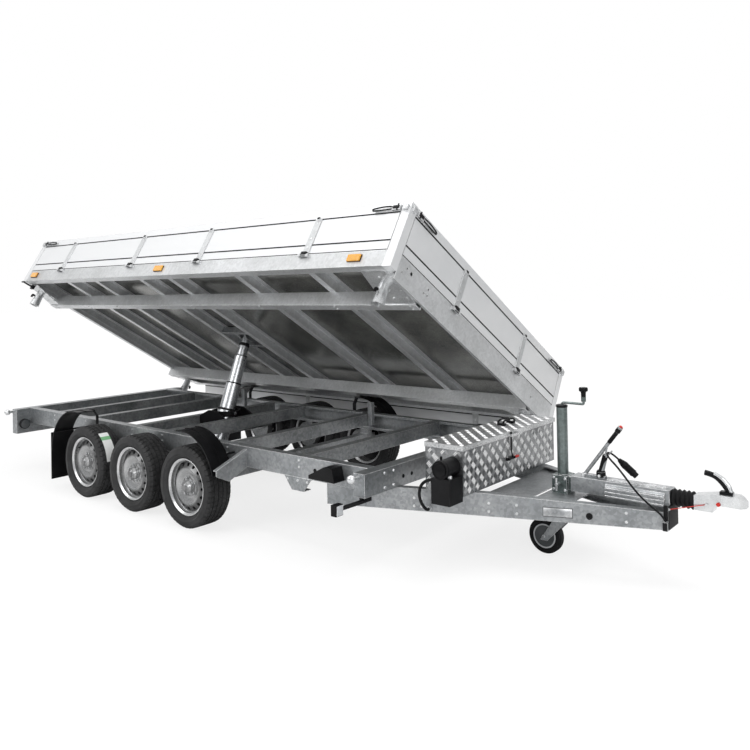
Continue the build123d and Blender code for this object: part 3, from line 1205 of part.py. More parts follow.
def cord(points, radius):
    """Tube along a route whose corners are arcs as large as their runs allow."""
    points = [Vector(front_station + x, y, z) for x, y, z in points]
    radii = [bend_radius(*corner) for corner in zip(points, points[1:], points[2:])]
    print("cord of radius", radius, "bends at", [round(r) for r in radii])
    path = FilletPolyline(*points, radius=radii)
    tube = sweep(Plane(origin=path @ 0, z_dir=path % 0) * Circle(radius), path=path)
    print("length", round(path.length), "volume ratio", round(tube.volume / (math.pi * radius ** 2 * path.length), 4))
    return tube


def pump_hose():
    """From the pump's rear face to the outer side of the right beam, square to both."""
    first, last = HOSE_ROUTE[0], Vector(*HOSE_ROUTE[-1])
    inward = Vector(-BEAM_SPREAD, 1, 0).normalized()
    run = (-beam_side(front_station + last.X) - last.Y) * inward.Y - SEAT_GAP
    return cord([(PUMP_AHEAD[0] - SEAT_GAP, first[1], first[2]), *HOSE_ROUTE, last + inward * run], HOSE_RADIUS)


def plug_cable():
    return cord(CABLE_ROUTE, CABLE_RADIUS)


def cable_plug():
    """Plug at the cable's end: a boot, a body and a narrower nose."""
    start = Vector(*CABLE_ROUTE[-1])
    run = start - Vector(*CABLE_ROUTE[-2])
    boot, tip = PLUG_BOOT_SHARE * PLUG_LENGTH, PLUG_NOSE_SHARE * PLUG_LENGTH
    outline = [(0, SEAT_GAP), (PLUG_BOOT_RADIUS, SEAT_GAP), (PLUG_RADIUS, boot), (PLUG_RADIUS, tip),
               (PLUG_NOSE_RADIUS, tip), (PLUG_NOSE_RADIUS, PLUG_LENGTH), (0, PLUG_LENGTH)]
    place = Plane(origin=(front_station + start.X, start.Y, start.Z), z_dir=run)
    return place * turned(outline)


for maker in (side_rails, cross_members, end_beams, ball_pins, rail_brackets, axle_beams, mudguards, drawbar,
              overrun_housing, bellows, coupling_head, safety_cable, handbrake, jack_tube, jockey_fork,
              jockey_wheel, toolbox, toolbox_lid, hand_pump, pump_hose, plug_cable, cable_plug, wheel_chocks,
              front_lamps, rear_lamps, gimbal_mount):
    keep(maker.__name__, maker())
for maker in (bed_frame, bed_floor, bed_beams, bed_members, corner_sockets, corner_posts, latch_keepers,
              side_markers, cylinder_bracket):
    made = maker()
    made = made if isinstance(made, list) else [made]
    keep(maker.__name__, [bed_place(s) for s in made])
cylinder_parts()
bed_walls()
wheel_parts()

os.makedirs("parts", exist_ok=True)
home = Pos(-hitch_station, 0, -HITCH_HEIGHT)
for node, solids in SHAPES.items():
    placed = [home * s for s in solids]
    export_step(placed[0] if len(placed) == 1 else Compound(children=placed), "parts/" + node + ".step")
print("nodes", len(SHAPES))
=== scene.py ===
# %% [markdown]
# # A tipper trailer, from frame to finished looks
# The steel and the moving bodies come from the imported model, which loads as a fixed frame. What a drawing
# leaves out is added here: tread, bolts, chequer plate, lenses, grips and the surface of every metal.
# The box of the bare frame is kept, so that the dressed trailer can be held against it at the end.

# %% Load the frame
import math

import bmesh
import bpy
from mathutils import Matrix, Vector


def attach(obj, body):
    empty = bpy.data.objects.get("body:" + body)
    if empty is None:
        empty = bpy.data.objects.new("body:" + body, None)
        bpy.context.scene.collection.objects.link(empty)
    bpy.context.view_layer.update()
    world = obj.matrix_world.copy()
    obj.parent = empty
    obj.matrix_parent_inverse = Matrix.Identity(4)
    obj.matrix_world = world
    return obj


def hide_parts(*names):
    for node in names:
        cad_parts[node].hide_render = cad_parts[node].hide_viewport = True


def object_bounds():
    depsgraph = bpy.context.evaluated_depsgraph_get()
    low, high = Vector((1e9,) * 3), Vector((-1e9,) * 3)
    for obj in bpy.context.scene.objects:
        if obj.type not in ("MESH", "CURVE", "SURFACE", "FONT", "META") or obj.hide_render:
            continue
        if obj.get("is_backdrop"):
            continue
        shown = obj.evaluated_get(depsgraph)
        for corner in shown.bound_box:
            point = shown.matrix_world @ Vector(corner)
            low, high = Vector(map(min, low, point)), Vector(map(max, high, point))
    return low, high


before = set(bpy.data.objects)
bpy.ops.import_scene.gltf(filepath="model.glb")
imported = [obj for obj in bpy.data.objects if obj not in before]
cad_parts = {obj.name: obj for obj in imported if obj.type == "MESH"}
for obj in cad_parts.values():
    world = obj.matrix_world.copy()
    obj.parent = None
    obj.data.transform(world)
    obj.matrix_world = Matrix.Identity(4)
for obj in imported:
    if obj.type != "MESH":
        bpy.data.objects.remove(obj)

bare_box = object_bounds()

# %% [markdown]
# The workshop drawing counts millimetres: stations forward from the middle axle, sides to the left and
# heights from the ground. Two matrices bring its numbers into the scene's metres. The second one serves
# the load bed, which has a frame of its own and stands tipped on its left pivots.

# %% Workshop and bed places
MM = 0.001
SIDES = (-1, 1)
COUPLING_STATION, COUPLING_HEIGHT = 3665, 445
WHEEL_PITCH, WHEEL_SIDE, AXLE_HEIGHT = 615, 890.5, 263
PIVOT_SIDE, PIVOT_HEIGHT = 924, 507
BED_TILT = math.radians(30.9)
BED_LENGTH, BED_WIDTH = 4170, 2180
BED_CORNER = (-2018, -2014, 120)
FRONT = 2003
shop = Matrix.Scale(MM, 4) @ Matrix.Translation((-COUPLING_STATION, 0, -COUPLING_HEIGHT))
pivot = Matrix.Translation((0, PIVOT_SIDE, PIVOT_HEIGHT)) @ Matrix.Rotation(-BED_TILT, 4, "X")
on_bed = shop @ pivot @ Matrix.Translation(BED_CORNER)
print("bed corner", [round(c, 3) for c in on_bed @ Vector((BED_LENGTH, 0, 0))])

# %% [markdown]
# The camera stands where the photographer stood: to the right and ahead of the trailer, about a metre
# and a half above the ground, with a lens about as wide as the frame. The horizon lies above the middle
# of the picture, so the lens is shifted instead of the camera being tipped, which keeps upright posts
# upright. It was held by hand, a degree off level.

# %% The camera
CAMERA_PLACE = (4660, -3935, 1516)
AROUND, ABOVE, ROLL = [math.radians(angle) for angle in (39.58, -0.7, -1.04)]
SENSOR, FOCAL_SHARE, LENS_SHIFT = 36, 1.004, (0.004, -0.1267)
lens = bpy.data.cameras.new("photo camera")
lens.sensor_width = SENSOR
lens.lens = SENSOR * FOCAL_SHARE
lens.shift_x, lens.shift_y = LENS_SHIFT
lens.clip_end = 200
camera = bpy.data.objects.new("photo camera", lens)
camera.location = shop @ Vector(CAMERA_PLACE)
back = Vector((math.sin(AROUND) * math.cos(ABOVE), -math.cos(AROUND) * math.cos(ABOVE), math.sin(ABOVE)))
rolled = Matrix.Rotation(ROLL, 3, "Z")
camera.rotation_euler = (back.to_track_quat("Z", "Y").to_matrix() @ rolled).to_euler()
bpy.context.scene.collection.objects.link(camera)
bpy.context.scene.camera = camera
bpy.context.scene.view_settings.view_transform = "Standard"
print("camera at", [round(c, 2) for c in camera.location])

# %% [markdown]
# A finish is a small graph of nodes. One helper opens a material, a second adds a node and a third wires
# two sockets, so that each recipe below reads as a list of what the surface does. Two more add a colour
# ramp and arithmetic, wired to what feeds them.

# %% Helpers for finishes
def recipe(name, metal, rough):
    made = bpy.data.materials.new(name)
    made.use_nodes = True
    shader = made.node_tree.nodes["Principled BSDF"]
    shader.inputs["Metallic"].default_value = metal
    shader.inputs["Roughness"].default_value = rough
    return made, shader


def grow(made, kind, **values):
    node = made.node_tree.nodes.new("ShaderNode" + kind)
    for key, value in values.items():
        if key in node.bl_rna.properties:
            setattr(node, key, value)
        else:
            node.inputs[key.replace("_", " ")].default_value = value
    return node


def wire(made, source, out, target, into):
    made.node_tree.links.new(source.outputs[out], target.inputs[into])


def ramp(made, source, out, stops):
    """Colour ramp from (place, colour) stops, fed by another node."""
    node = grow(made, "ValToRGB")
    points = node.color_ramp.elements
    while len(points) < len(stops):
        points.new(0.5)
    for point, (place, colour) in zip(points, stops):
        point.position = place
        point.color = (*colour, 1) if len(colour) == 3 else (colour[0],) * 3 + (1,)
    wire(made, source, out, node, "Fac")
    return node


def reckon(made, operation, source, out, *numbers):
    """Arithmetic on what another node gives, with plain numbers on the other sockets."""
    node = grow(made, "Math", operation=operation)
    wire(made, source, out, node, 0)
    for socket, number in enumerate(numbers, 1):
        node.inputs[socket].default_value = number
    return node

# %% [markdown]
# Most of this trailer is hot-dip galvanised steel. Zinc freezes in crystals a finger wide, each with its
# own grey, and dulls unevenly. A Voronoi texture gives the crystals, a noise the dull patches, and a
# bevel node rounds the sharp edges of the drawing in the shading alone. Where its rounded normal leaves
# the flat one, an edge is near, and the colour is lightened there: a painted highlight on every edge.

# %% A base that every metal shares
def metal_with_wear_and_highlight(name, dark, light, metal, rough, patch=3.0, grain=140.0, stretch=(1, 1, 1), bump=0.15,
               edge=0.0015, highlight_grey=0.0):
    made, shader = recipe(name, metal, sum(rough) / 2)
    where = grow(made, "TexCoord")
    stretched = grow(made, "Mapping", Scale=stretch)
    wire(made, where, "Object", stretched, "Vector")
    patches = grow(made, "TexNoise", Scale=patch, Detail=5.0, Roughness=0.6)
    wire(made, stretched, "Vector", patches, "Vector")
    colour = ramp(made, patches, "Fac", [(0.33, dark), (0.68, light)])
    fine = grow(made, "TexNoise", Scale=grain, Detail=4.0, Roughness=0.65)
    wire(made, stretched, "Vector", fine, "Vector")
    dull = ramp(made, fine, "Fac", [(0.3, (rough[0],)), (0.7, (rough[1],))])
    wire(made, dull, "Color", shader, "Roughness")
    rounded = grow(made, "Bevel", samples=4, Radius=edge)
    relief = grow(made, "Bump", Strength=bump, Distance=0.0006)
    wire(made, fine, "Fac", relief, "Height")
    wire(made, rounded, "Normal", relief, "Normal")
    wire(made, relief, "Normal", shader, "Normal")
    # Optional painted highlight: the colour is lightened along the edges.
    if highlight_grey:
        colour = painted_edge_highlight(made, rounded, colour, highlight_grey)
    wire(made, colour, "Color", shader, "Base Color")
    return made, shader, colour, stretched


def painted_edge_highlight(made, rounded, colour, highlight_grey):
    """Painted highlight: lighten the colour where the rounded normal leaves the flat one."""
    flat = grow(made, "NewGeometry")
    match = grow(made, "VectorMath", operation="DOT_PRODUCT")
    wire(made, rounded, "Normal", match, 0)
    wire(made, flat, "Normal", match, 1)
    near_edge = ramp(made, match, "Value", [(0.90, (1,)), (0.995, (0,))])
    highlighted = grow(made, "MixRGB", Color2=(highlight_grey, highlight_grey, highlight_grey * 1.01, 1))
    wire(made, near_edge, "Color", highlighted, "Fac")
    wire(made, colour, "Color", highlighted, "Color1")
    return highlighted

# %% [markdown]
# The spangle goes on top: each Voronoi cell gives its own grey, mixed lightly over the patches, so that
# the crystals show close by and merge into plain zinc from across the yard.

# %% Galvanised steel in five finishes, two with painted light
def multiplied(made, shader, colour, shade):
    """Darken a colour by a shade, on its way to the shader."""
    mixed = grow(made, "MixRGB", blend_type="MULTIPLY", Fac=1.0)
    wire(made, colour, "Color", mixed, "Color1")
    wire(made, shade, "Color", mixed, "Color2")
    wire(made, mixed, "Color", shader, "Base Color")


def galvanised(name, dark, light, rough, spangle):
    # Edges lightened nearly to white: a painted highlight.
    made, shader, colour, stretched = metal_with_wear_and_highlight(name, dark, light, 0.72, rough, edge=0.004, highlight_grey=0.95)
    cells = grow(made, "TexVoronoi", Scale=70.0)
    wire(made, stretched, "Vector", cells, "Vector")
    grey = grow(made, "RGBToBW")
    wire(made, cells, "Color", grey, "Color")
    crystal = ramp(made, grey, "Val", [(0.2, (1 - spangle * 2,)), (0.8, (1,))])
    multiplied(made, shader, colour, crystal)
    return made


zinc = galvanised("galvanised steel", (0.25, 0.265, 0.275), (0.43, 0.44, 0.45), (0.28, 0.46), 0.12)
old_zinc = galvanised("galvanised steel, dull", (0.20, 0.21, 0.215), (0.42, 0.43, 0.44), (0.32, 0.54), 0.14)
dark_zinc = galvanised("galvanised steel, shaded", (0.09, 0.115, 0.11), (0.20, 0.235, 0.23),
                       (0.25, 0.5), 0.12)
# A lighter copy of the zinc for the bed's steel: painted light for the lit rail and the members in shade
# under the bed.
bed_zinc_painted_light = galvanised("galvanised steel, painted light", (0.55, 0.56, 0.565), (0.68, 0.69, 0.70), (0.32, 0.46), 0.06)
# Floor sheet: zinc crystals on a dark grey with pale patches, a painted reflection of a dark ground with
# bright patches.
sheet_painted_reflection = galvanised("floor sheet, painted reflection", (0.085, 0.087, 0.08), (0.27, 0.27, 0.25), (0.10, 0.30), 0.1)
print("finishes", len(bpy.data.materials))

# %% [markdown]
# The drop sides are anodised aluminium planks. Extruding leaves fine lines along the plank, so the noise
# is stretched twenty times along the trailer. The grain is faint, and the colour almost even.

# %% Anodised aluminium, bright zinc, ground steel and black paint
anodised = metal_with_wear_and_highlight("anodised aluminium", (0.70, 0.71, 0.72), (0.80, 0.805, 0.81), 0.45, (0.30, 0.42),
                      patch=1.2, grain=160.0, stretch=(0.05, 1, 1), bump=0.08)[0]
tread_metal = metal_with_wear_and_highlight("chequer bars, plain", (0.34, 0.345, 0.35), (0.52, 0.525, 0.53), 0.8, (0.26, 0.42),
                         patch=5.0, grain=220.0, bump=0.12)[0]
bright_zinc = metal_with_wear_and_highlight("zinc-plated steel", (0.55, 0.56, 0.57), (0.74, 0.75, 0.755), 0.85, (0.2, 0.36),
                         patch=9.0, grain=300.0, bump=0.1, edge=0.001)[0]
ground_steel = metal_with_wear_and_highlight("ground steel", (0.30, 0.31, 0.32), (0.50, 0.51, 0.525), 0.9, (0.2, 0.34),
                          patch=2.0, grain=260.0, stretch=(1, 1, 0.1), bump=0.05, edge=0.001)[0]
# Edges lightened a little: a painted highlight on the black paint.
black_paint, black_shader = metal_with_wear_and_highlight("black paint", (0.002, 0.002, 0.0025), (0.008, 0.008, 0.009), 0.0,
                                       (0.3, 0.5), patch=8.0, grain=260.0, bump=0.12, highlight_grey=0.05)[:2]
black_shader.inputs["Specular IOR Level"].default_value = 0.16
print("finishes", len(bpy.data.materials))

# %% [markdown]
# A rim's grey is painted by the distance from the hub: a painted highlight on its flange, and painted
# shade round the bolts and in the trough round its vents. All rims share this pattern: WRAP folds the
# three axles onto one, and the distance from the hub, as a share of the reach below, then picks the grey.

# %% Silver rims with painted shade and highlight
SHADE_REACH = 200
# Grey by distance from the hub: painted shade round the bolts and vents, a painted highlight on the flange.
RIM_PAINTED_LIGHT = ((0.0, 0.30), (0.14, 0.30), (0.17, 0.62), (0.26, 0.62), (0.28, 0.16), (0.33, 0.50),
              (0.55, 0.60), (0.62, 0.22), (0.78, 0.14), (0.82, 0.80), (0.93, 1.0))


def rim_paint():
    made, shader, colour, place = metal_with_wear_and_highlight("silver rim paint", (0.52, 0.525, 0.53), (0.74, 0.745, 0.75),
                                             0.8, (0.20, 0.36), patch=9.0, grain=900.0, bump=0.04)
    split = grow(made, "SeparateXYZ")
    wire(made, place, "Vector", split, "Vector")
    ahead = reckon(made, "ADD", split, "X", COUPLING_STATION * MM)
    folded = reckon(made, "WRAP", ahead, "Value", WHEEL_PITCH / 2 * MM, -WHEEL_PITCH / 2 * MM)
    rise = reckon(made, "ADD", split, "Z", (COUPLING_HEIGHT - AXLE_HEIGHT) * MM)
    flat = grow(made, "CombineXYZ")
    wire(made, folded, "Value", flat, "X")
    wire(made, rise, "Value", flat, "Y")
    away = grow(made, "VectorMath", operation="LENGTH")
    wire(made, flat, "Vector", away, 0)
    share = reckon(made, "DIVIDE", away, "Value", SHADE_REACH * MM)
    rim_light_and_shade = ramp(made, share, "Value", [(place, (grey,)) for place, grey in RIM_PAINTED_LIGHT])
    multiplied(made, shader, colour, rim_light_and_shade)
    return made


silver_paint = rim_paint()
print("rim shades", len(RIM_PAINTED_LIGHT))

# %% [markdown]
# Rubber and moulded plastic scatter light from a fine grain. Rubber is never quite black: dust greys it
# in patches. The lenses are clear plastic with fine ribs moulded inside, so they get a wave for a bump
# and a little light let through.

# %% Rubber, plastics and lenses
def moulded(name, dark, light, rough, grain=500.0, bump=0.25, gloss=0.35):
    made, shader = metal_with_wear_and_highlight(name, dark, light, 0.0, rough, patch=6.0, grain=grain, bump=bump,
                              edge=0.0008)[:2]
    shader.inputs["Specular IOR Level"].default_value = gloss
    return made


tyre_rubber = moulded("tyre rubber", (0.010, 0.010, 0.0105), (0.034, 0.034, 0.035), (0.55, 0.8), 380.0, 0.3)
soft_rubber = moulded("soft black rubber", (0.003, 0.003, 0.0035), (0.010, 0.010, 0.011), (0.5, 0.7),
                      gloss=0.18)
black_plastic = moulded("black plastic", (0.002, 0.002, 0.0025), (0.008, 0.008, 0.009), (0.30, 0.48),
                        700.0, 0.35, 0.14)
grey_plastic = moulded("grey plastic", (0.42, 0.43, 0.44), (0.55, 0.56, 0.57), (0.35, 0.5))
slate_plastic = moulded("slate plastic", (0.045, 0.05, 0.052), (0.11, 0.115, 0.12), (0.35, 0.5), gloss=0.25)
red_plastic = moulded("red plastic", (0.42, 0.02, 0.015), (0.60, 0.03, 0.02), (0.3, 0.45))
white_paper = moulded("label paper", (0.78, 0.79, 0.78), (0.86, 0.87, 0.86), (0.45, 0.6), 300.0, 0.1)
green_paper = moulded("label green", (0.16, 0.42, 0.20), (0.24, 0.52, 0.27), (0.45, 0.6), 300.0, 0.1)


def lens_plastic(name, deep, pale):
    made, shader = recipe(name, 0.0, 0.12)
    where = grow(made, "TexCoord")
    ribs = grow(made, "TexWave", Scale=420.0, Distortion=0.0)
    wire(made, where, "Object", ribs, "Vector")
    colour = ramp(made, ribs, "Fac", [(0.2, deep), (0.8, pale)])
    wire(made, colour, "Color", shader, "Base Color")
    relief = grow(made, "Bump", Strength=0.35, Distance=0.0008)
    wire(made, ribs, "Fac", relief, "Height")
    wire(made, relief, "Normal", shader, "Normal")
    shader.inputs["Transmission Weight"].default_value = 0.15
    shader.inputs["Coat Weight"].default_value = 0.6
    return made


amber = lens_plastic("amber lens", (0.80, 0.32, 0.02), (1.0, 0.52, 0.06))
red_lens = lens_plastic("red lens", (0.38, 0.01, 0.01), (0.62, 0.03, 0.02))
clear_lens = lens_plastic("clear lens", (0.60, 0.62, 0.64), (0.82, 0.84, 0.86))
print("finishes", len(bpy.data.materials))

# %% [markdown]
# Now each solid of the frame gets its finish. A table of finishes and names keeps this in one place.

# %% Dress the frame's own solids
WEAR = {
    zinc: ("end_beams", "side_rails", "drawbar", "rail_brackets", "overrun_housing", "jockey_fork",
           "handbrake"),
    bed_zinc_painted_light: ("bed_beams", "bed_members", "bed_frame", "right_wall_fittings", "left_wall_fittings",
               "front_wall_fittings", "rear_wall_fittings", "latch_keepers"),
    old_zinc: ("cross_members", "axle_beams", "cylinder_bracket"),
    dark_zinc: ("jack_tube",),
    sheet_painted_reflection: ("bed_floor",),
    anodised: ("right_wall", "left_wall", "front_wall", "rear_wall", "corner_posts"),
    tread_metal: ("toolbox", "toolbox_lid"),
    bright_zinc: ("ball_pins", "coupling_head", "corner_sockets"),
    ground_steel: ("cylinder_barrel", "cylinder_stage_one", "cylinder_stage_two", "cylinder_stage_three"),
    black_paint: ("gimbal_mount", "hand_pump", "wheel_chocks"),
    black_plastic: ("front_lamps", "rear_lamps", "mudguards"),
    soft_rubber: ("bellows", "pump_hose", "jockey_wheel"),
    red_plastic: ("safety_cable",),
    amber: ("side_markers",),
    silver_paint: tuple(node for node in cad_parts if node.startswith("rim_")),
}


def dress(node, made):
    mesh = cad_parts[node].data
    mesh.materials.clear()
    mesh.materials.append(made)


for made, nodes in WEAR.items():
    for node in nodes:
        dress(node, made)
print("dressed", sum(len(nodes) for nodes in WEAR.values()), "solids")

# %% [markdown]
# The pieces that follow are built in millimetres, in a bmesh that collects simple bodies: bevelled
# blocks, rods, turned profiles and bent bars. One call closes it, brings it into the frame with one of
# the two matrices, gives it a finish and lets it ride on its body.

# %% Helpers for shapes
def block(shape, x, y, z, edge=1.5):
    size = [abs(b - a) for a, b in (x, y, z)]
    middle = [(a + b) / 2 for a, b in (x, y, z)]
    place = Matrix.Translation(middle) @ Matrix.Diagonal((*size, 1))
    made = bmesh.ops.create_cube(shape, size=1, matrix=place)
    if edge:
        edges = list(dict.fromkeys(e for v in made["verts"] for e in v.link_edges))
        bmesh.ops.bevel(shape, geom=edges, offset=min(edge, min(size) * 0.45), segments=2, affect="EDGES",
                        profile=0.7)


def facing(start, end):
    """Matrix whose Z runs from one point towards another."""
    turn = (Vector(end) - Vector(start)).to_track_quat("Z", "Y")
    return Matrix.Translation(start) @ turn.to_matrix().to_4x4()


def circle(sides):
    """Cosine and sine of each corner of a ring."""
    turns = [2 * math.pi * k / sides for k in range(sides)]
    return [(math.cos(a), math.sin(a)) for a in turns]


def turned(shape, place, outline, sides=40):
    """Rings of an outline of (radius, height) pairs round the Z of a matrix."""
    rings = []
    for radius, height in outline:
        corners = circle(sides) if radius else [(0, 0)]
        rings.append([shape.verts.new(place @ Vector((radius * c, radius * s, height))) for c, s in corners])
    for low, high in zip(rings, rings[1:]):
        for k in range(sides):
            corners = [ring[n % len(ring)] for ring, n in ((low, k), (low, k + 1), (high, k + 1), (high, k))]
            shape.faces.new(list(dict.fromkeys(corners)))


def rod(shape, start, end, radius, sides=24, edge=1.0):
    length = (Vector(end) - Vector(start)).length
    edge = min(edge, radius * 0.4, length * 0.4)
    outline = [(0, 0), (radius - edge, 0), (radius, edge), (radius, length - edge), (radius - edge, length),
               (0, length)]
    turned(shape, facing(start, end), outline, sides)


def smooth_line(points, steps):
    """Points along a smooth line that passes through all the given ones."""
    points = [Vector(p) for p in points]
    ends = [2 * points[0] - points[1], *points, 2 * points[-1] - points[-2]]
    line = []
    for a, b, c, d in zip(ends, ends[1:], ends[2:], ends[3:]):
        for k in range(steps):
            t = k / steps
            line.append(0.5 * ((2 * b) + (c - a) * t + (2 * a - 5 * b + 4 * c - d) * t * t
                               + (3 * b - a - 3 * c + d) * t * t * t))
    return [*line, points[-1]]


def bent(shape, points, radius, sides=12, steps=6):
    """Round bar along a smooth line through points."""
    line = smooth_line(points, steps)
    side = (line[1] - line[0]).orthogonal().normalized()
    rings = []
    for k, middle in enumerate(line):
        along = (line[min(k + 1, len(line) - 1)] - line[max(k - 1, 0)]).normalized()
        side = (side - along * side.dot(along)).normalized()
        other = along.cross(side)
        rings.append([shape.verts.new(middle + (side * c + other * s) * radius) for c, s in circle(sides)])
    for low, high in zip(rings, rings[1:]):
        for k in range(sides):
            shape.faces.new([low[k], low[(k + 1) % sides], high[(k + 1) % sides], high[k]])
    shape.faces.new(list(reversed(rings[0])))
    shape.faces.new(rings[-1])


def bolt(shape, place, direction, size=9):
    """Hexagon head on a washer, standing on a surface."""
    on = facing(place, Vector(place) + Vector(direction))
    washer, head = size * 1.05, size * 0.95
    turned(shape, on, [(washer, 0), (washer, 1.2), (head, 1.6), (0, 1.6)], 20)
    turned(shape, on, [(head, 1.2), (head, size * 0.62), (size * 0.8, size * 0.75), (0, size * 0.75)], 6)


def piece(name, shape, place, made, body, bend=35):
    """Close a bmesh into an object with a finish that rides on a body."""
    bmesh.ops.transform(shape, matrix=place, verts=shape.verts)
    bmesh.ops.recalc_face_normals(shape, faces=shape.faces)
    mesh = bpy.data.meshes.new(name)
    shape.to_mesh(mesh)
    shape.free()
    mesh.shade_smooth()
    mesh.set_sharp_from_angle(angle=math.radians(bend))
    mesh.materials.append(made)
    thing = bpy.data.objects.new(name, mesh)
    bpy.context.scene.collection.objects.link(thing)
    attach(thing, body)
    return thing

# %% [markdown]
# The cable of the lamp plug leaves the clip on the nose of the drawbar, climbs outside it, turns over the
# hook on the brake lever's spring and lets the plug hang. It follows the drawing's route as a NURBS
# curve, which rounds the corners as a soft cable does.

# %% The plug's cable
CABLE_WIDTH = 0.010
CABLE = ((1356, -80, 320.6), (1342, -90, 354), (1286, -104, 396), (1218, -113, 458), (1133, -112, 564),
         (1073.6, -112, 618), (1058, -75.6, 632), (1073.6, -39.2, 618), (1106, -39.2, 592))


def soft_line(name, points, diameter, made):
    curve = bpy.data.curves.new(name, "CURVE")
    curve.dimensions = "3D"
    curve.bevel_depth = diameter / 2
    curve.bevel_resolution = 4
    curve.resolution_u = 16
    curve.use_fill_caps = True
    line = curve.splines.new("NURBS")
    line.points.add(len(points) - 1)
    for point, place in zip(line.points, points):
        point.co = (*place, 1)
    line.order_u = 3
    line.use_endpoint_u = True
    curve.materials.append(made)
    thing = bpy.data.objects.new(name, curve)
    bpy.context.scene.collection.objects.link(thing)
    return thing


cable_points = [shop @ Vector((FRONT + x, y, z)) for x, y, z in CABLE]
cable = soft_line("lamp_cable", cable_points, CABLE_WIDTH, soft_rubber)
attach(cable, "chassis")
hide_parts("plug_cable")
print("cable leaves at", [round(c, 3) for c in cable_points[0]])

# %% [markdown]
# The plug is turned like the real moulding: a ribbed boot that guards the cable, a barrel with grip
# flutes and a narrower nose with a hollow end. It stands on the last run of the cable.

# %% The plug
BOOT_RIBS, BOOT_REACH, RIB_PITCH, RIB_GROWTH = 6, 10.6, 5.6, 1.5
FLUTES, FLUTES_FROM, FLUTE_PITCH, BARREL, FLUTE_BED = 9, 48, 5, 19.8, 18.2
PLUG_NOSE = ((BARREL, 100), (19.0, 101), (15.8, 101), (15.8, 119), (14.6, 120), (12.5, 120), (12.5, 112),
             (0, 112))
plug_back, plug_foot = [Vector((FRONT + x, y, z)) for x, y, z in CABLE[-2:]]
plug_place = facing(plug_foot, 2 * plug_foot - plug_back)
shape = bmesh.new()
boot = []
for k in range(BOOT_RIBS):
    reach, low = BOOT_REACH + RIB_GROWTH * k, RIB_PITCH * k
    boot += [(reach, low + 0.4), (reach + 0.3, low + 3.0), (reach - 1.1, low + 3.8)]
barrel = [(19.6, 35), (BARREL, 46)]
for k in range(FLUTES):
    low = FLUTES_FROM + FLUTE_PITCH * k
    barrel += [(BARREL, low), (FLUTE_BED, low + 2), (FLUTE_BED, low + 3), (BARREL, low + 4.6)]
turned(shape, plug_place, [(0, 0.4), *boot, *barrel, *PLUG_NOSE], 32)
plug = piece("lamp_plug", shape, shop, black_plastic, "chassis")
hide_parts("cable_plug")

# %% [markdown]
# A trailer tyre is a low ring with a flat tread. Its outline is turned once, in narrow bands, and every
# point of the tread asks whether a groove runs through it: four grooves run round, and slanted cuts
# part the blocks between them. The cuts step inward, which keeps the tyre within its drawn size.

# %% One tyre with its tread
TYRE_RADIUS, PITCHES, COLUMNS_A_PITCH = 263, 46, 7
GROOVES = ((-50, 7), (-17, 8), (17, 8), (50, 7))
GROOVE_DEPTH, SHOULDER_CUT, CENTRE_CUT, EDGE_NICK = 7, 6, 4.5, 2
SHOULDER, CENTRE = 53, 17
WIDE_CUT_SHARE, NARROW_CUT_SHARE = 0.22, 0.14
SIDEWALL = ((172.3, 65.7), (184, 66.5), (186.5, 70), (192, 79), (199, 87), (201, 88.5), (203, 88.2),
            (214, 95.5), (216, 97.2), (219, 97.2), (221, 96.2), (236, 95.5), (247, 92.5), (259.5, 78))
TREAD = (75.5, 70, 62, 54, 53.4, 46.6, 46, 38, 29, 21.4, 20.8, 13.2, 12.6, 5, 0)


def tread_depth(across, turn):
    """How far a point of the tread lies below the rolling surface."""
    if any(abs(across - middle) < width / 2 for middle, width in GROOVES):
        return GROOVE_DEPTH
    slant = abs(across) * (0.09 if abs(across) > CENTRE else -0.05)
    step = (turn * PITCHES / 360 + slant / 10) % 1
    if abs(across) > SHOULDER:
        return SHOULDER_CUT if step < WIDE_CUT_SHARE else 0
    return CENTRE_CUT if step < NARROW_CUT_SHARE else 0


def tyre_shape():
    shape = bmesh.new()
    rows = [*SIDEWALL, *((TYRE_RADIUS - (1.2 if across > 60 else 0), across) for across in TREAD)]
    outline = rows + [(radius, -across) for radius, across in reversed(rows[:-1])]
    columns = PITCHES * COLUMNS_A_PITCH
    rings = []
    for k in range(columns):
        turn = 360 * k / columns
        a = math.radians(turn)
        ring = []
        for radius, across in outline:
            deep = tread_depth(across, turn) if radius > 258 else 0
            if 240 < radius < 259 and (turn * PITCHES / 360) % 1 < WIDE_CUT_SHARE:
                deep = EDGE_NICK
            reach = radius - deep
            ring.append(shape.verts.new((reach * math.cos(a), across, reach * math.sin(a))))
        rings.append(ring)
    for low, high in zip(rings, rings[1:] + rings[:1]):
        for n in range(len(outline) - 1):
            shape.faces.new([low[n], low[n + 1], high[n + 1], high[n]])
        shape.faces.new([low[-1], low[0], high[0], high[-1]])
    return shape


AXLES, HANDS = (("front", 1), ("middle", 0), ("rear", -1)), (("left", 1), ("right", -1))
WHEELS = [(place, side, k * WHEEL_PITCH, s * WHEEL_SIDE) for place, k in AXLES for side, s in HANDS]
for place, side, x, y in WHEELS:
    rolled = Matrix.Rotation(math.radians(x % 7 * 3), 4, "Y")
    hub = shop @ Matrix.Translation((x, y, AXLE_HEIGHT)) @ rolled
    tyre = piece(f"treaded_tyre_{place}_{side}", tyre_shape(), hub, tyre_rubber, f"wheel_{place}_{side}", 28)
    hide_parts(f"tyre_{place}_{side}")
print("tyres", len(WHEELS), "each", len(tyre.data.polygons), "faces")

# %% [markdown]
# Each steel rim is held by five bolts round the hub and carries a valve near its edge. The bolts have a
# cone under a hexagon head. Behind the rim's disc sits the brake drum with a wide ring, both black; the
# ring behind the vents is painted shade, and it is they that make the vent holes look dark.

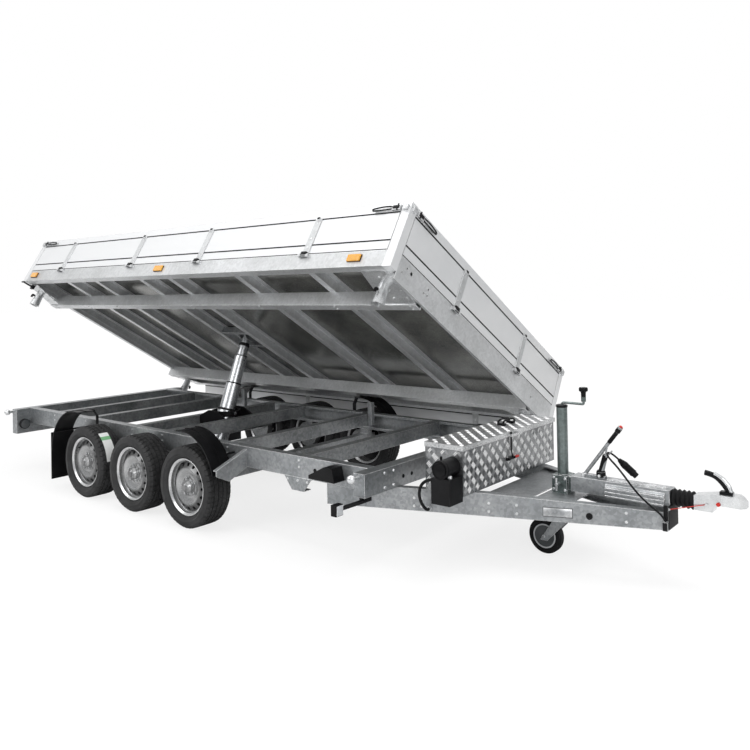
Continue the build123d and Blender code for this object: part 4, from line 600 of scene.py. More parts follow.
# %% Wheel bolts, brake drum with painted shade, and valve
BOLT_CIRCLE, BOLT_FACE, HUB_FACE, DRUM_FACE = 57, 48, 83, 12
VALVE_CIRCLE, VALVE_FACE, VALVE_WAY = 158, 32, (-6, 26)
HUB_RING = ((29, -6), (29.6, -5), (29.6, -1), (28.4, 0))
BOLT_HEAD = ((10.5, 0), (9.5, 4), (9.5, 15), (8, 17), (0, 17))
BOLT_CONE = ((12.5, 0), (12.5, 1.5), (10, 3))
# The drum, with its outer ring behind the vents as painted shade.
DRUM_AND_SHADE_RING = ((62, 0), (62, 10), (66, 12), (112, 12), (118, 8), (164, 8), (166.8, 6), (166.8, 2), (112, 0), (62, 0))


def hub_circle(x, y, radius, a):
    """A place round the axle of the wheel at station x, in the plane y."""
    return Vector((x + radius * math.cos(a), y, AXLE_HEIGHT + radius * math.sin(a)))


def outward(x, y, out):
    """Matrix on the axle whose Z points out of the wheel."""
    return facing((x, y, AXLE_HEIGHT), (x, y + out, AXLE_HEIGHT))


def wheel_bolts(shape, x, y, out):
    for k in range(5):
        a = math.radians(72 * k + 18 + x % 11)
        foot = hub_circle(x, y + out * BOLT_FACE, BOLT_CIRCLE, a)
        on = facing(foot, foot + Vector((0, out, 0)))
        turned(shape, on, BOLT_HEAD, 6)
        turned(shape, on, BOLT_CONE, 20)
    turned(shape, outward(x, y + out * HUB_FACE, out), HUB_RING)


def valve(shape, x, y, out):
    a = math.radians(100 + x % 60)
    foot = hub_circle(x, y + out * VALVE_FACE, VALVE_CIRCLE, a)
    lean, reach = VALVE_WAY
    tip = foot + Vector((lean * math.cos(a), out * reach, lean * math.sin(a)))
    step = foot.lerp(tip, 0.6)
    rod(shape, foot, step, 5.2, 16)
    rod(shape, step, tip, 3.8, 16)


for place, side, x, y in WHEELS:
    body = f"wheel_{place}_{side}"
    out = 1 if y > 0 else -1
    shape = bmesh.new()
    wheel_bolts(shape, x, y, out)
    piece(f"wheel_bolts_{place}_{side}", shape, shop, old_zinc, body)
    shape = bmesh.new()
    turned(shape, outward(x, y + out * DRUM_FACE, out), DRUM_AND_SHADE_RING, 64)
    piece(f"brake_drum_and_shade_{place}_{side}", shape, shop, black_paint, body)
    shape = bmesh.new()
    valve(shape, x, y, out)
    piece(f"valve_{place}_{side}", shape, shop, soft_rubber, body)
print("wheel sets", len(WHEELS))

# %% [markdown]
# A paper label still sticks to the tread of the right rear tyre, as it left the tyre shop: plain white
# with a green band, and nothing on it. It bends with the tread and lies a hair above it.

# %% The label on the tyre
LABEL_RADIUS, LABEL_EDGES, LABEL_STEPS = 263.4, (-48, 26), 12
LABEL_BANDS = (("low", 6, 42, white_paper), ("band", 42, 49, green_paper), ("top", 49, 57, white_paper))
for name, start, stop, made in LABEL_BANDS:
    shape = bmesh.new()
    rows = []
    for k in range(LABEL_STEPS + 1):
        a = math.radians(start + (stop - start) * k / LABEL_STEPS)
        x, z = -WHEEL_PITCH + LABEL_RADIUS * math.cos(a), AXLE_HEIGHT + LABEL_RADIUS * math.sin(a)
        rows.append([shape.verts.new((x, edge - WHEEL_SIDE, z)) for edge in LABEL_EDGES])
    for low, high in zip(rows, rows[1:]):
        shape.faces.new([low[0], low[1], high[1], high[0]])
    piece(f"tyre_label_{name}", shape, shop, made, "wheel_rear_right")
print("label bands", len(LABEL_BANDS))

# %% [markdown]
# The toolbox is folded from chequer plate, whose bars stand in groups of five. Neighbouring groups lie
# crosswise, and light catches one kind at a time, which draws the bright lozenges. Each bar is a low
# hipped roof of six faces. The two kinds are separate pieces: one is painted near white, a painted highlight.

# %% Chequer plate
BAR_LENGTH, LID_BAR, BAR_WIDTH, BAR_HEIGHT, BAR_SPACE = 17.0, 12.0, 2.6, 1.5, 8.0
GROUP, GROUP_BARS, PLATE_MARGIN = 42.0, 5, 13.6
BOX_REAR, BOX_FRONT, BOX_RIGHT, BOX_LEFT, BOX_FLOOR, LID_TOP = 2206, 2450, -528, 545, 400, 668
BOX_DEPTH, BOX_HEIGHT, LID_DEPTH, LID_OVERHANG = 242, 240, 252, 8
BOX_WIDTH = BOX_LEFT - BOX_RIGHT
# The bright kind's bars: a painted highlight, near white.
highlight_bars = metal_with_wear_and_highlight("chequer bars, painted highlight", (0.94, 0.942, 0.945), (0.98, 0.98, 0.98), 0.1, (0.18, 0.3),
                      patch=8.0, grain=240.0, bump=0.08)[0]
plate_ground = metal_with_wear_and_highlight("chequer plate", (0.13, 0.135, 0.14), (0.34, 0.345, 0.35), 0.85, (0.20, 0.38),
                          patch=6.0, grain=240.0, bump=0.12)[0]
# The lid's plate is a lighter copy of the sides' plate: painted light on the top, which faces the lamps.
lid_plate_painted_light = metal_with_wear_and_highlight("chequer plate, lid, painted light", (0.42, 0.425, 0.43), (0.62, 0.625, 0.63), 0.7, (0.20, 0.38),
                        patch=6.0, grain=240.0, bump=0.12)[0]
dress("toolbox", plate_ground)
dress("toolbox_lid", lid_plate_painted_light)


def raised_bar(shape, middle, forward, out, reach):
    """A leaf of raised metal about a place on a plate."""
    beside = out.cross(forward) * BAR_WIDTH
    tip, shoulder = forward * reach, forward * reach * 0.6
    ring = [tip, shoulder + beside, beside - shoulder, -tip, -shoulder - beside, shoulder - beside]
    low = [shape.verts.new(middle + p) for p in ring]
    high = [shape.verts.new(middle + shoulder * s + out * BAR_HEIGHT) for s in (1, -1)]
    for face in ((low[0], low[1], high[0]), (low[1], low[2], high[1], high[0]), (low[2], low[3], high[1]),
                 (low[3], low[4], high[1]), (low[4], low[5], high[0], high[1]), (low[5], low[0], high[0])):
        shape.faces.new(face)


def chequered(name, origin, along, across, out, size, body, keep=lambda a, b: True, reach=BAR_LENGTH):
    """Groups of bars on one face of the box, in two pieces by their lean."""
    origin, along, across, out = [Vector(v) for v in (origin, along, across, out)]
    # The bright kind carries the painted highlight, the dull kind the plain bar colour.
    for kind, lean, finish in (("bright", 45, highlight_bars), ("dull", -45, tread_metal)):
        forward = along * math.cos(math.radians(lean)) + across * math.sin(math.radians(lean))
        sideways = out.cross(forward) * BAR_SPACE
        groups = [(i, j) for i in range(int(size[0] // GROUP) + 1) for j in range(int(size[1] // GROUP) + 1)
                  if (i + j) % 2 == (kind == "bright")]
        shape = bmesh.new()
        for i, j in groups:
            group = along * (i + 0.5) * GROUP + across * (j + 0.5) * GROUP
            for k in range(GROUP_BARS):
                spot = group + sideways * (k - GROUP_BARS // 2)
                a, b = spot.dot(along), spot.dot(across)
                inside = all(PLATE_MARGIN < c < limit - PLATE_MARGIN for c, limit in zip((a, b), size))
                if inside and keep(a, b):
                    raised_bar(shape, origin + spot + out * 0.2, forward, out, reach)
        print(name, kind, len(shape.faces) // 6, "bars")
        piece(f"{name}_{kind}", shape, shop, finish, body, 20)


chequered("lid_chequer", (BOX_REAR, BOX_RIGHT - LID_OVERHANG, LID_TOP), (0, 1, 0), (1, 0, 0), (0, 0, 1),
          (BOX_WIDTH + 2 * LID_OVERHANG, LID_DEPTH), "box_lid", reach=LID_BAR)
chequered("box_front_chequer", (BOX_FRONT, BOX_RIGHT, BOX_FLOOR), (0, 1, 0), (0, 0, 1), (1, 0, 0),
          (BOX_WIDTH, BOX_HEIGHT), "chassis")
chequered("box_right_chequer", (BOX_REAR, BOX_RIGHT, BOX_FLOOR), (1, 0, 0), (0, 0, 1), (0, -1, 0),
          (BOX_DEPTH, BOX_HEIGHT), "chassis", lambda a, b: a < 105 or b > 210)
chequered("box_left_chequer", (BOX_REAR, BOX_LEFT, BOX_FLOOR), (1, 0, 0), (0, 0, 1), (0, 1, 0),
          (BOX_DEPTH, BOX_HEIGHT), "chassis")

# %% [markdown]
# The lid closes with a rubber strap near the middle, a lock beside it and a black handle on top. They are
# small, so each is a few bevelled blocks and rods in one piece.

# %% Toolbox fittings
LATCH_HEIGHT, LATCH_FACE = 513, BOX_FRONT + 1
STRAP_SIDE, STRAP_ROOT, LOCK_HEIGHT = -22, 560, 470
HANDLE_FEET, HANDLE_BARS = (112, 222), (2302, 2338)
LID_RIVETS, RIVET_HEIGHT = (-500, -250, 0.0, 260, 515), 655
HANDLE_LOOP = ((100, 676), (106, 692), (124, 699), (150, 701), (190, 701), (216, 699), (234, 692), (240, 676))
shape = bmesh.new()
for y in HANDLE_FEET:
    block(shape, (2296, 2344), (y - 12, y + 16), (669.5, 682), 3)
for x in HANDLE_BARS:
    bent(shape, [(x, y, z) for y, z in HANDLE_LOOP], 6)
piece("lid_handle", shape, shop, black_plastic, "box_lid")
shape = bmesh.new()
block(shape, (2458.6, 2462), (STRAP_SIDE - 8, STRAP_SIDE + 8), (STRAP_ROOT, LID_TOP), 0.8)
bent(shape, [(x, STRAP_SIDE, STRAP_ROOT - drop) for x, drop in ((2460, 0), (2464, 20), (2466, 40))], 4)
piece("box_strap", shape, shop, soft_rubber, "box_lid")
shape = bmesh.new()
block(shape, (LATCH_FACE, 2462), (-75, 20), (LATCH_HEIGHT - 8, LATCH_HEIGHT + 8), 3)
rod(shape, (LATCH_FACE, -60, LATCH_HEIGHT), (2472, -60, LATCH_HEIGHT), 7)
rod(shape, (LATCH_FACE, 8, LATCH_HEIGHT), (2468, 8, LATCH_HEIGHT), 6)
piece("box_latch", shape, shop, black_plastic, "chassis")
shape = bmesh.new()
block(shape, (LATCH_FACE, 2466), (20, 62), (LATCH_HEIGHT - 6, LATCH_HEIGHT + 6), 3)
piece("box_latch_grip", shape, shop, red_plastic, "chassis")
shape = bmesh.new()
lock_place = facing((2450.6, STRAP_SIDE, LOCK_HEIGHT), (2470, STRAP_SIDE, LOCK_HEIGHT))
turned(shape, lock_place, [(15, 0), (15, 4), (13, 6), (0, 6)], 28)
block(shape, (2456, 2462), (STRAP_SIDE - 2, STRAP_SIDE + 2), (LOCK_HEIGHT - 8, LOCK_HEIGHT + 8), 0.5)
for y in LID_RIVETS:
    rod(shape, (2458.4, y, RIVET_HEIGHT), (2460.4, y, RIVET_HEIGHT), 4, 14)
piece("box_lock", shape, shop, bright_zinc, "chassis")
print("toolbox fittings made")

# %% [markdown]
# Bolts are listed by place and by the way they face, and one piece takes them all for each body. The same
# helper serves the steel of the chassis and, through the other matrix, the bed.

# %% Bolts on the chassis
BEAM_TIP, BEAM_SIDE, BEAM_SLOPE = 3346, 72, 0.384
RAIL_SIDE, BEAM_FACE, GUARD_FACE = 742, 2042, 952
BEAM_BOLTS, BEAM_BOLT_HEIGHTS = (2130, 2170, 2520, 2660, 3180), (300, 345)
BRACKET_BOLTS, BRACKET_BOLT_HEIGHT = (1330, 1415, 1495), 378
RAIL_BOLTS, RAIL_BOLT_HEIGHTS = (-1480, -985, -335, 45, 765, 1429), (460, 500)
END_BOLTS = ((690, 420), (610, 420), (690, 500), (610, 500))
GUARD_BOLTS = ((775, 470), (775, 430), (860, 420), (945, 402))


def beam_way(side):
    """The way that the outer face of a slanted drawbar beam looks."""
    return Vector((BEAM_SLOPE, side, 0)).normalized()


def on_beam(x, z, side=-1, out=0.0):
    """A place on the outer face of a drawbar beam, or some way out from it."""
    reach = BEAM_SIDE + BEAM_SLOPE * (BEAM_TIP - x)
    return Vector((x, side * reach, z)) + beam_way(side) * out


shape = bmesh.new()
for side in SIDES:
    for x in BEAM_BOLTS:
        for z in BEAM_BOLT_HEIGHTS:
            bolt(shape, on_beam(x, z, side), beam_way(side), 8)
    for x in BRACKET_BOLTS:
        bolt(shape, (x, side * RAIL_SIDE, BRACKET_BOLT_HEIGHT), (0, side, 0), 8)
    for x in RAIL_BOLTS:
        for z in RAIL_BOLT_HEIGHTS:
            bolt(shape, (x, side * RAIL_SIDE, z), (0, side, 0), 7)
    for y, z in GUARD_BOLTS:
        bolt(shape, (GUARD_FACE, side * y, z), (1, 0, 0), 7)
    for y, z in END_BOLTS:
        bolt(shape, (BEAM_FACE, side * y, z), (1, 0, 0))
piece("chassis_bolts", shape, shop, bright_zinc, "chassis")
print("chassis bolts made")

# %% [markdown]
# The near drawbar beam carries a bare rating plate in a dark frame and a cable grommet. The front beam has
# two drain holes and the right rail four. A hole that must not cut the steel is a dark disc in a raised
# ring; the dark disc is painted shade for the inside of the hole.

# %% Plate, grommets and holes
PLATE_STATION, PLATE_HEIGHT, PLATE_HALF, FRAME_HALF, FRAME_DEPTH = 2860, 322, (75, 23), (77, 25), (0.2, 1.8)
GROMMET_STATION, GROMMET_HEIGHT, GROMMET = 3010, 315, ((17, 0), (17, 5), (14, 7), (9, 7), (9, 2), (0, 2))
BEAM_HOLES, BEAM_HOLE_HEIGHT = (-520, -440), 450
RAIL_HOLES, RAIL_HOLE_HEIGHT = (1560, 1700, 1830, 1905), 455


def drain_hole(shape, place, way, reach, inside):
    # The dark disc is painted shade for the inside of the hole.
    rim = [(reach, 0), (reach, 1.2), (inside, 1.2), (inside, 0.4), (0, 0.4)]
    turned(shape, facing(place, Vector(place) + Vector(way)), rim, 28)


turn = beam_way(-1).to_track_quat("Z", "Y").to_matrix().to_4x4()
plate_place = shop @ Matrix.Translation(on_beam(PLATE_STATION, PLATE_HEIGHT)) @ turn
(half, rise), (far, top) = PLATE_HALF, FRAME_HALF
shape = bmesh.new()
block(shape, (-half, half), (-rise, rise), (0.2, 1.2), 0.4)
piece("bare_plate", shape, plate_place, zinc, "chassis")
shape = bmesh.new()
for side in SIDES:
    block(shape, (-far, far), (side * (top - 3), side * top), FRAME_DEPTH, 0.4)
    block(shape, (side * (far - 3), side * far), (-top, top), FRAME_DEPTH, 0.4)
piece("plate_frame", shape, plate_place, slate_plastic, "chassis")
shape = bmesh.new()
spot = on_beam(GROMMET_STATION, GROMMET_HEIGHT)
turned(shape, facing(spot, spot + beam_way(-1)), GROMMET, 32)
for y in BEAM_HOLES:
    drain_hole(shape, (BEAM_FACE, y, BEAM_HOLE_HEIGHT), (1, 0, 0), 11, 8.5)
for x in RAIL_HOLES:
    drain_hole(shape, (x, -RAIL_SIDE, RAIL_HOLE_HEIGHT), (0, -1, 0), 13, 10)
piece("grommets", shape, shop, soft_rubber, "chassis")
print("plate and grommets made")

# %% [markdown]
# The overrun coupling ends in a lift handle with a moulded black grip. The grip follows the drawn handle
# and lies round it, a little thicker. The brake lever gets its grip, its gas spring sleeve and a red
# release button in the same way. A black rubber buffer covers the nose of the drawbar.

# %% Grips and the brake lever
GRIP_LINE = ((3640, 496), (3622, 522), (3600, 547), (3577, 564), (3548, 573), (3530, 575.5))
LEVER_KNEE, LEVER_TIP = Vector((FRONT + 1026, 0, 651)), Vector((FRONT + 1105, 0, 756))
SPRING_FOOT, SPRING_LOW, SPRING_HIGH = FRONT + 990, 503, Vector((FRONT + 1018, 0, 600))
SPRING_BOOT = ((19, 0), (25, 0.5), (25, 24), (21, 34.6), (15, 36))
GRIP_RINGS, RING_PITCH = 7, 10
LEVER_PINS = ((SPRING_FOOT, 30, 486), (FRONT + 897, 26, 476))
NOSE_RUBBER = (((3370.2, 3374), (-70, 70), (277, 398), 1.2), ((3347, 3370), (-73.2, -72.2), (321, 400), 0.3),
               ((3347, 3370), (-89.2, -88.2), (275, 316), 0.3))
shape = bmesh.new()
bent(shape, [(x, 0, z) for x, z in GRIP_LINE], 13.5, 16)
block(shape, (3600, 3660), (-20, 20), (480, 497), 5)
piece("coupling_grip", shape, shop, black_plastic, "chassis")
shape = bmesh.new()
rod(shape, (3600, -44.5, 437), (3600, -42, 437), 10, 28)
piece("coupling_mark", shape, shop, red_plastic, "chassis")
shape = bmesh.new()
for sheet in NOSE_RUBBER:
    block(shape, *sheet)
piece("nose_buffer", shape, shop, soft_rubber, "chassis")
shape = bmesh.new()
way = (LEVER_TIP - LEVER_KNEE).normalized()
rod(shape, LEVER_TIP - way * 112, LEVER_TIP - way * 30, 11.2, 28, 2)
rod(shape, LEVER_TIP - way * 36, LEVER_TIP - way * 8, 14.8, 28, 3)
for k in range(GRIP_RINGS):
    rod(shape, LEVER_TIP - way * (104 - RING_PITCH * k), LEVER_TIP - way * (101 - RING_PITCH * k), 12, 28)
rod(shape, (SPRING_FOOT, 0, SPRING_LOW), SPRING_HIGH, 15, 28, 2)
turned(shape, Matrix.Translation((SPRING_FOOT, 0, 477)), SPRING_BOOT, 32)
piece("lever_grip", shape, shop, black_plastic, "chassis")
shape = bmesh.new()
rod(shape, LEVER_TIP - way * 6, LEVER_TIP + way * 7, 10, 24, 3)
piece("lever_button", shape, shop, red_plastic, "chassis")
shape = bmesh.new()
for x, half, z in LEVER_PINS:
    rod(shape, (x, -half, z), (x, half, z), 8, 20)
piece("lever_pins", shape, shop, bright_zinc, "chassis")
print("grips made")

# %% [markdown]
# The jack's crank has a smooth black grip, its tube a clamp with a T lever, and the wheel under it a dark
# hub in a pale ring. Hub and ring are turned as shallow dishes that lie on the rubber.

# %% Jack and jockey wheel
CRANK_STATION, CRANK_HEIGHT, JACK_STATION, JACK_TOP = 2902, 878, 2772, 835
CLAMP_HEIGHT, CLAMP_BOLTS, JOCKEY_STATION, JOCKEY_HEIGHT = 420, (385, 448), 2662, 100
CRANK_GRIP = ((0, 20), (11, 20), (13, 23), (13.5, 46), (16, 52), (23, 56), (24.5, 62), (24.5, 70), (22, 76),
              (0, 79.5))
JACK_CAP = ((30.6, 0), (32.5, 2), (32.5, 12), (27, 15), (0, 15))
HUB_DISH = ((60, 0), (60, 0.9), (30, 0.9), (26, 2.6), (9, 3.2))
HUB_EDGE = ((68, 0), (68, 1.8), (65, 2.8), (61, 2.6), (59.5, 0))
shape = bmesh.new()
turned(shape, Matrix.Translation((CRANK_STATION, 0, CRANK_HEIGHT)), CRANK_GRIP, 28)
turned(shape, Matrix.Translation((JACK_STATION, 0, JACK_TOP)), JACK_CAP, 36)
piece("crank_grip", shape, shop, black_plastic, "chassis")
shape = bmesh.new()
rod(shape, (JACK_STATION, -52, CLAMP_HEIGHT), (JACK_STATION, -92, CLAMP_HEIGHT), 9, 24)
rod(shape, (JACK_STATION, -86, CLAMP_HEIGHT - 35), (JACK_STATION, -86, CLAMP_HEIGHT + 35), 7, 20, 2)
for z in CLAMP_BOLTS:
    for side in SIDES:
        bolt(shape, (JACK_STATION + side * 34, -50, z), (0, -1, 0), 8)
piece("jack_clamp", shape, shop, bright_zinc, "chassis")
for side in SIDES:
    hub = facing((JOCKEY_STATION, side * 25, JOCKEY_HEIGHT), (JOCKEY_STATION, side * 40, JOCKEY_HEIGHT))
    for name, outline, made in (("hub", HUB_DISH, slate_plastic), ("ring", HUB_EDGE, grey_plastic)):
        shape = bmesh.new()
        turned(shape, hub, outline, 44)
        piece(f"jockey_{name}_{side + 2}", shape, shop, made, "jockey")
shape = bmesh.new()
for side in SIDES:
    bolt(shape, (JOCKEY_STATION, side * 36.4, JOCKEY_HEIGHT), (0, side, 0))
piece("jockey_nuts", shape, shop, bright_zinc, "jockey_swivel")
print("jack pieces made")

# %% [markdown]
# The hydraulic pump is a black motor on a square tank. It gets end bells, a terminal, a filler cap and
# the crimped ends of its hose, which sit on the pump and on the drawbar.

# %% Pump and hose ends
MOTOR_STATION, MOTOR_HEIGHT, MOTOR_END = FRONT + 385, 556, -656
BELL_SIDES, BELL = (MOTOR_END, -640, -549, -534), ((47, 0), (49.5, 0.5), (49.5, 5.5), (47, 6))
END_CAP = ((40, 0), (38, 6), (18, 9), (10, 12), (0, 12))
HOSE_NUT = ((14, 0), (14, 8), (0, 8))
HOSE_START, HOSE_END = Vector((FRONT + 327, -600, 480)), Vector((FRONT + 209.6, -507.6, 295))


def hose_end(shape, place, way, length):
    """Crimped sleeve behind a hose's end, with a nut on it."""
    rod(shape, place + way * length[0], place + way * length[1], 11, 24, 2)
    turned(shape, facing(place, place + way), HOSE_NUT, 6)


shape = bmesh.new()
for y in BELL_SIDES:
    bell = facing((MOTOR_STATION, y - 3, MOTOR_HEIGHT), (MOTOR_STATION, y + 3, MOTOR_HEIGHT))
    turned(shape, bell, BELL, 44)
cap = facing((MOTOR_STATION, MOTOR_END, MOTOR_HEIGHT), (MOTOR_STATION, MOTOR_END - 14, MOTOR_HEIGHT))
turned(shape, cap, END_CAP, 36)
rod(shape, (MOTOR_STATION - 22, -610, 600), (MOTOR_STATION - 22, -610, 618), 7, 18)
block(shape, (FRONT + 330, FRONT + 440), (-655, -532), (500, 511), 3)
piece("pump_bells", shape, shop, black_plastic, "chassis")
shape = bmesh.new()
rod(shape, (MOTOR_STATION + 38, -620, 508), (MOTOR_STATION + 38, -620, 526), 13, 24, 3)
hose_end(shape, HOSE_START, Vector((-1, 0, 0)), (0, 27))
hose_end(shape, HOSE_END, beam_way(-1), (26, 0))
piece("pump_fittings", shape, shop, bright_zinc, "chassis")
print("pump pieces made")

# %% [markdown]
# Lamps: a clear lens on each front lamp, three bands of colour on each rear lamp, and a dark cover on each
# round cup behind the wheels. Each lens stands on its black housing. The side markers get black frames.

# %% Lamp lenses
LENS_EDGE, FRONT_LENS = 2.5, ((1950, 1955), (938, 986), (316, 368))
REAR_LAMP_FACE, REAR_LENS_HEIGHTS = -2015.3, (352, 438)
REAR_BANDS = (("stop", 640, 752, red_lens), ("turn", 560, 638, amber), ("tail", 478, 558, red_lens))
MARKER_SHARES = (0.040, 0.483, 0.933)
ROUND_COVER = ((38, 0), (37, 3), (20, 6), (0, 7))
shape = bmesh.new()
for side in SIDES:
    x, y, z = FRONT_LENS
    block(shape, x, [side * edge for edge in y], z, LENS_EDGE)
piece("front_lenses", shape, shop, clear_lens, "chassis")
for name, near, far, made in REAR_BANDS:
    shape = bmesh.new()
    for side in SIDES:
        across = (side * near, side * far)
        block(shape, (REAR_LAMP_FACE - 5, REAR_LAMP_FACE), across, REAR_LENS_HEIGHTS, LENS_EDGE)
    piece(f"rear_lens_{name}", shape, shop, made, "chassis")
shape = bmesh.new()
for side in SIDES:
    turned(shape, facing((-1880.7, side * 800, 396), (-1870, side * 800, 396)), ROUND_COVER, 36)
piece("round_covers", shape, shop, slate_plastic, "chassis")
shape = bmesh.new()
for side in SIDES:
    for share in MARKER_SHARES:
        u, v = share * BED_LENGTH, 0 if side < 0 else BED_WIDTH
        block(shape, (u - 50, u + 50), (v + side * 0.4, v + side * 3.4), (31, 79), 1)
piece("marker_frames", shape, on_bed, black_plastic, "bed")
print("lenses made")

# %% [markdown]
# A drop side is drawn by its own length, its outward way and its height, as the right side stands on the
# bed. One matrix for each side turns or mirrors that drawing to its edge. The left side hangs down on its
# hinges, so its matrix turns about their pins as well.

# %% Places of the drop sides
HINGE_OUT, HINGE_RISE = 14, 85.3
CORNER = 66
STRAPS = {"right": (588, 1622, 2435, 3478), "left": (588, 1622, 2435, 3478),
          "front": (665, 1515), "rear": (665, 1515)}


def side_place(name):
    """Matrix that lays a side's own length, outward way and height on the bed."""
    if name == "right":
        return on_bed
    if name == "left":
        hinge = Matrix.Translation((0, BED_WIDTH + HINGE_OUT, HINGE_RISE))
        let_down = hinge @ Matrix.Rotation(BED_TILT - math.pi, 4, "X") @ hinge.inverted()
        mirrored = Matrix.Scale(-1, 4, (0, 1, 0))
        return on_bed @ let_down @ Matrix.Translation((0, BED_WIDTH, 0)) @ mirrored
    turn = Matrix.Translation((BED_LENGTH, 0, 0)) @ Matrix.Rotation(math.radians(90), 4, "Z")
    if name == "front":
        return on_bed @ turn
    return on_bed @ Matrix.Translation((BED_LENGTH, 0, 0)) @ Matrix.Scale(-1, 4, (1, 0, 0)) @ turn


print("sides", *STRAPS)

# %% [markdown]
# Every strap of the drop sides ends in a dark cast hook over the bed's rail, has rivets and a black cap.
# Near each corner a sprung handle closes the side. Dark strips sunk in the grooves where two hollow planks
# clip together, beside each strap and along the foot of the side are painted shade. All of it rides with its
# own side.

# %% Hooks, rivets and handles of the drop sides
RIVET = ((6, 0), (5.4, 1.6), (3, 2.6), (0, 2.9))
RIVET_RISES = (150, 215, 330)
HANDLE = ((0, -13, 388), (60, -15, 391), (130, -17, 381), (138, -17, 373), (128, -16, 367), (60, -14, 370),
          (0, -13, 372))
# Heights of the painted shade strips in the grooves, the last along the foot of the side.
PLANK_JOINT_SHADE = ((163.3, 173.3), (351.3, 361.3), (104, 109))


def strap_hooks(shape, u):
    block(shape, (u - 22, u + 22), (-21.8, -6.5), (78, 112), 3)
    block(shape, (u - 10, u + 10), (-14, -6.2), (352, 366), 2)


def strap_rivets(shape, u):
    for w in RIVET_RISES:
        turned(shape, facing((u, -6.2, w), (u, -10, w)), RIVET, 20)


def corner_handle(shape, end, way):
    """Bent wire with a catch block and a pin, from a corner along the side."""
    far = end + way * 56
    bent(shape, [(far + way * u, v, w) for u, v, w in HANDLE], 4.6, 10)
    block(shape, (min(end, far) + 6, max(end, far) - 6), (-20, -15.8), (372, 392), 2)
    rod(shape, (end + way * 18, -14, 362), (end + way * 18, -14, 404), 5.5, 16)


def plank_joint_shade(shape, straps, length):
    """Painted shade: dark strips in the grooves between the planks, broken at the straps, and beside each
    strap.
    """
    for low, high in PLANK_JOINT_SHADE:
        gaps = [CORNER, *[u + 21 * s for u in straps for s in SIDES], length - CORNER]
        for start, stop in zip(gaps[::2], gaps[1::2]):
            block(shape, (start, stop), (-0.6, 2.9), (low, high), 0)
    for u in straps:
        for s in SIDES:
            block(shape, (u + 20.4 * s, u + 24 * s), (-0.8, 0.6), (118, 348), 0)


for name, straps in STRAPS.items():
    length = BED_LENGTH if name in ("right", "left") else BED_WIDTH
    hooks, rivets, handles, joint_shade = [bmesh.new() for _ in range(4)]
    for u in straps:
        strap_hooks(hooks, u)
        strap_rivets(rivets, u)
    corner_handle(handles, CORNER, 1)
    corner_handle(handles, length - CORNER, -1)
    plank_joint_shade(joint_shade, straps, length)
    for what, shape, made in (("plank_joint_shade", joint_shade, soft_rubber), ("strap_hooks", hooks, black_paint),
                              ("strap_rivets", rivets, bright_zinc), ("side_handles", handles, black_paint)):
        piece(f"{what}_{name}", shape, side_place(name), made, f"{name}_side")
print("sides fitted", len(STRAPS))

# %% [markdown]
# Under the bed sit the lock levers of the pivots, each with a black sleeve, and a catch block with a T
# handle at the right rear corner. Bolts hold the slanted corner plates, and the cross members on the two
# beams.

# %% Fittings under the bed
LEVER_LINE = ((40, -76), (52, -76), (58, -82), (58, -100))
LEVER_PLACES = [(u, v, out) for u in (68, 4021) for v, out in ((166, -1), (2014, 1))]
CORNER_BOLTS = [(u, v) for v in (95, 150, 210, 270) for u in (40, 150, 4030, 4120)]
MEMBERS = (68, 626, 1066, 1694, 2061, 2805, 3496, 4082)
MEMBER_BOLTS = [(u + 24, v) for u in MEMBERS for v in (338, 372, 1808, 1842)]
SLANT_START, SLANT_RUN, SLANT_DROP = 55, 270, 52
shape = bmesh.new()
for u, v, out in LEVER_PLACES:
    bent(shape, [(u, v + out * along, w) for along, w in LEVER_LINE], 9, 14)
block(shape, (52, 98), (62, 82), (-40, -6), 3)
rod(shape, (74, 60, -22), (74, -20, -22), 7, 18)
rod(shape, (46, -22, -22), (102, -22, -22), 6.5, 18, 3)
piece("lock_grips", shape, on_bed, black_plastic, "bed")
shape = bmesh.new()
for u, v in CORNER_BOLTS:
    drop = 6.3 + (v - SLANT_START) / SLANT_RUN * SLANT_DROP
    for far in (v, BED_WIDTH - v):
        bolt(shape, (u, far, -drop), (0, 0, -1), 7)
for u, v in MEMBER_BOLTS:
    bolt(shape, (u, v, -65), (0, 0, -1), 7)
piece("bed_bolts", shape, on_bed, bright_zinc, "bed")
print("bed fittings made")

# %% [markdown]
# The cylinder's stages slide through wipers. Each wiper is a dark ring at the mouth of the tube that it
# belongs to, with a dark band round the tube's last millimetres, which stay outside when all is drawn in.
# The table gives each ring's body, the mouth's height, the ring's two radii, the tube and the band.

# %% Wipers on the cylinder
CYLINDER_STATION, TRUNNION_HEIGHT, EYE_RISE = -144.8, 546, 180
WIPERS = (("barrel", "barrel", 24, 62.6, 71, 76, 16), ("one", "stage_one", 237.9, 52.6, 61.4, 62, 8),
          ("two", "stage_two", 468.3, 42.6, 51.4, 52, 5), ("three", "stage_three", 575, 32.6, 41.4, 42, 24))
eye_side = PIVOT_SIDE - PIVOT_SIDE * math.cos(BED_TILT) + EYE_RISE * math.sin(BED_TILT)
eye_height = PIVOT_HEIGHT + PIVOT_SIDE * math.sin(BED_TILT) + EYE_RISE * math.cos(BED_TILT)
foot, eye = Vector((CYLINDER_STATION, 0, TRUNNION_HEIGHT)), Vector((CYLINDER_STATION, eye_side, eye_height))
upright = facing(foot, eye)
for name, body, mouth, inner, outer, tube, depth in WIPERS:
    shape = bmesh.new()
    ring = [(inner, mouth), (inner + 0.6, mouth + 3), (outer - 1.5, mouth + 3.2), (outer, mouth)]
    band = [(tube - 0.2, mouth - depth), (tube + 0.6, mouth - depth + 0.4), (tube + 0.6, mouth - 1),
            (tube - 0.2, mouth - 0.6)]
    turned(shape, upright, ring, 56)
    turned(shape, upright, band, 56)
    piece(f"wiper_{name}", shape, shop, soft_rubber, body)
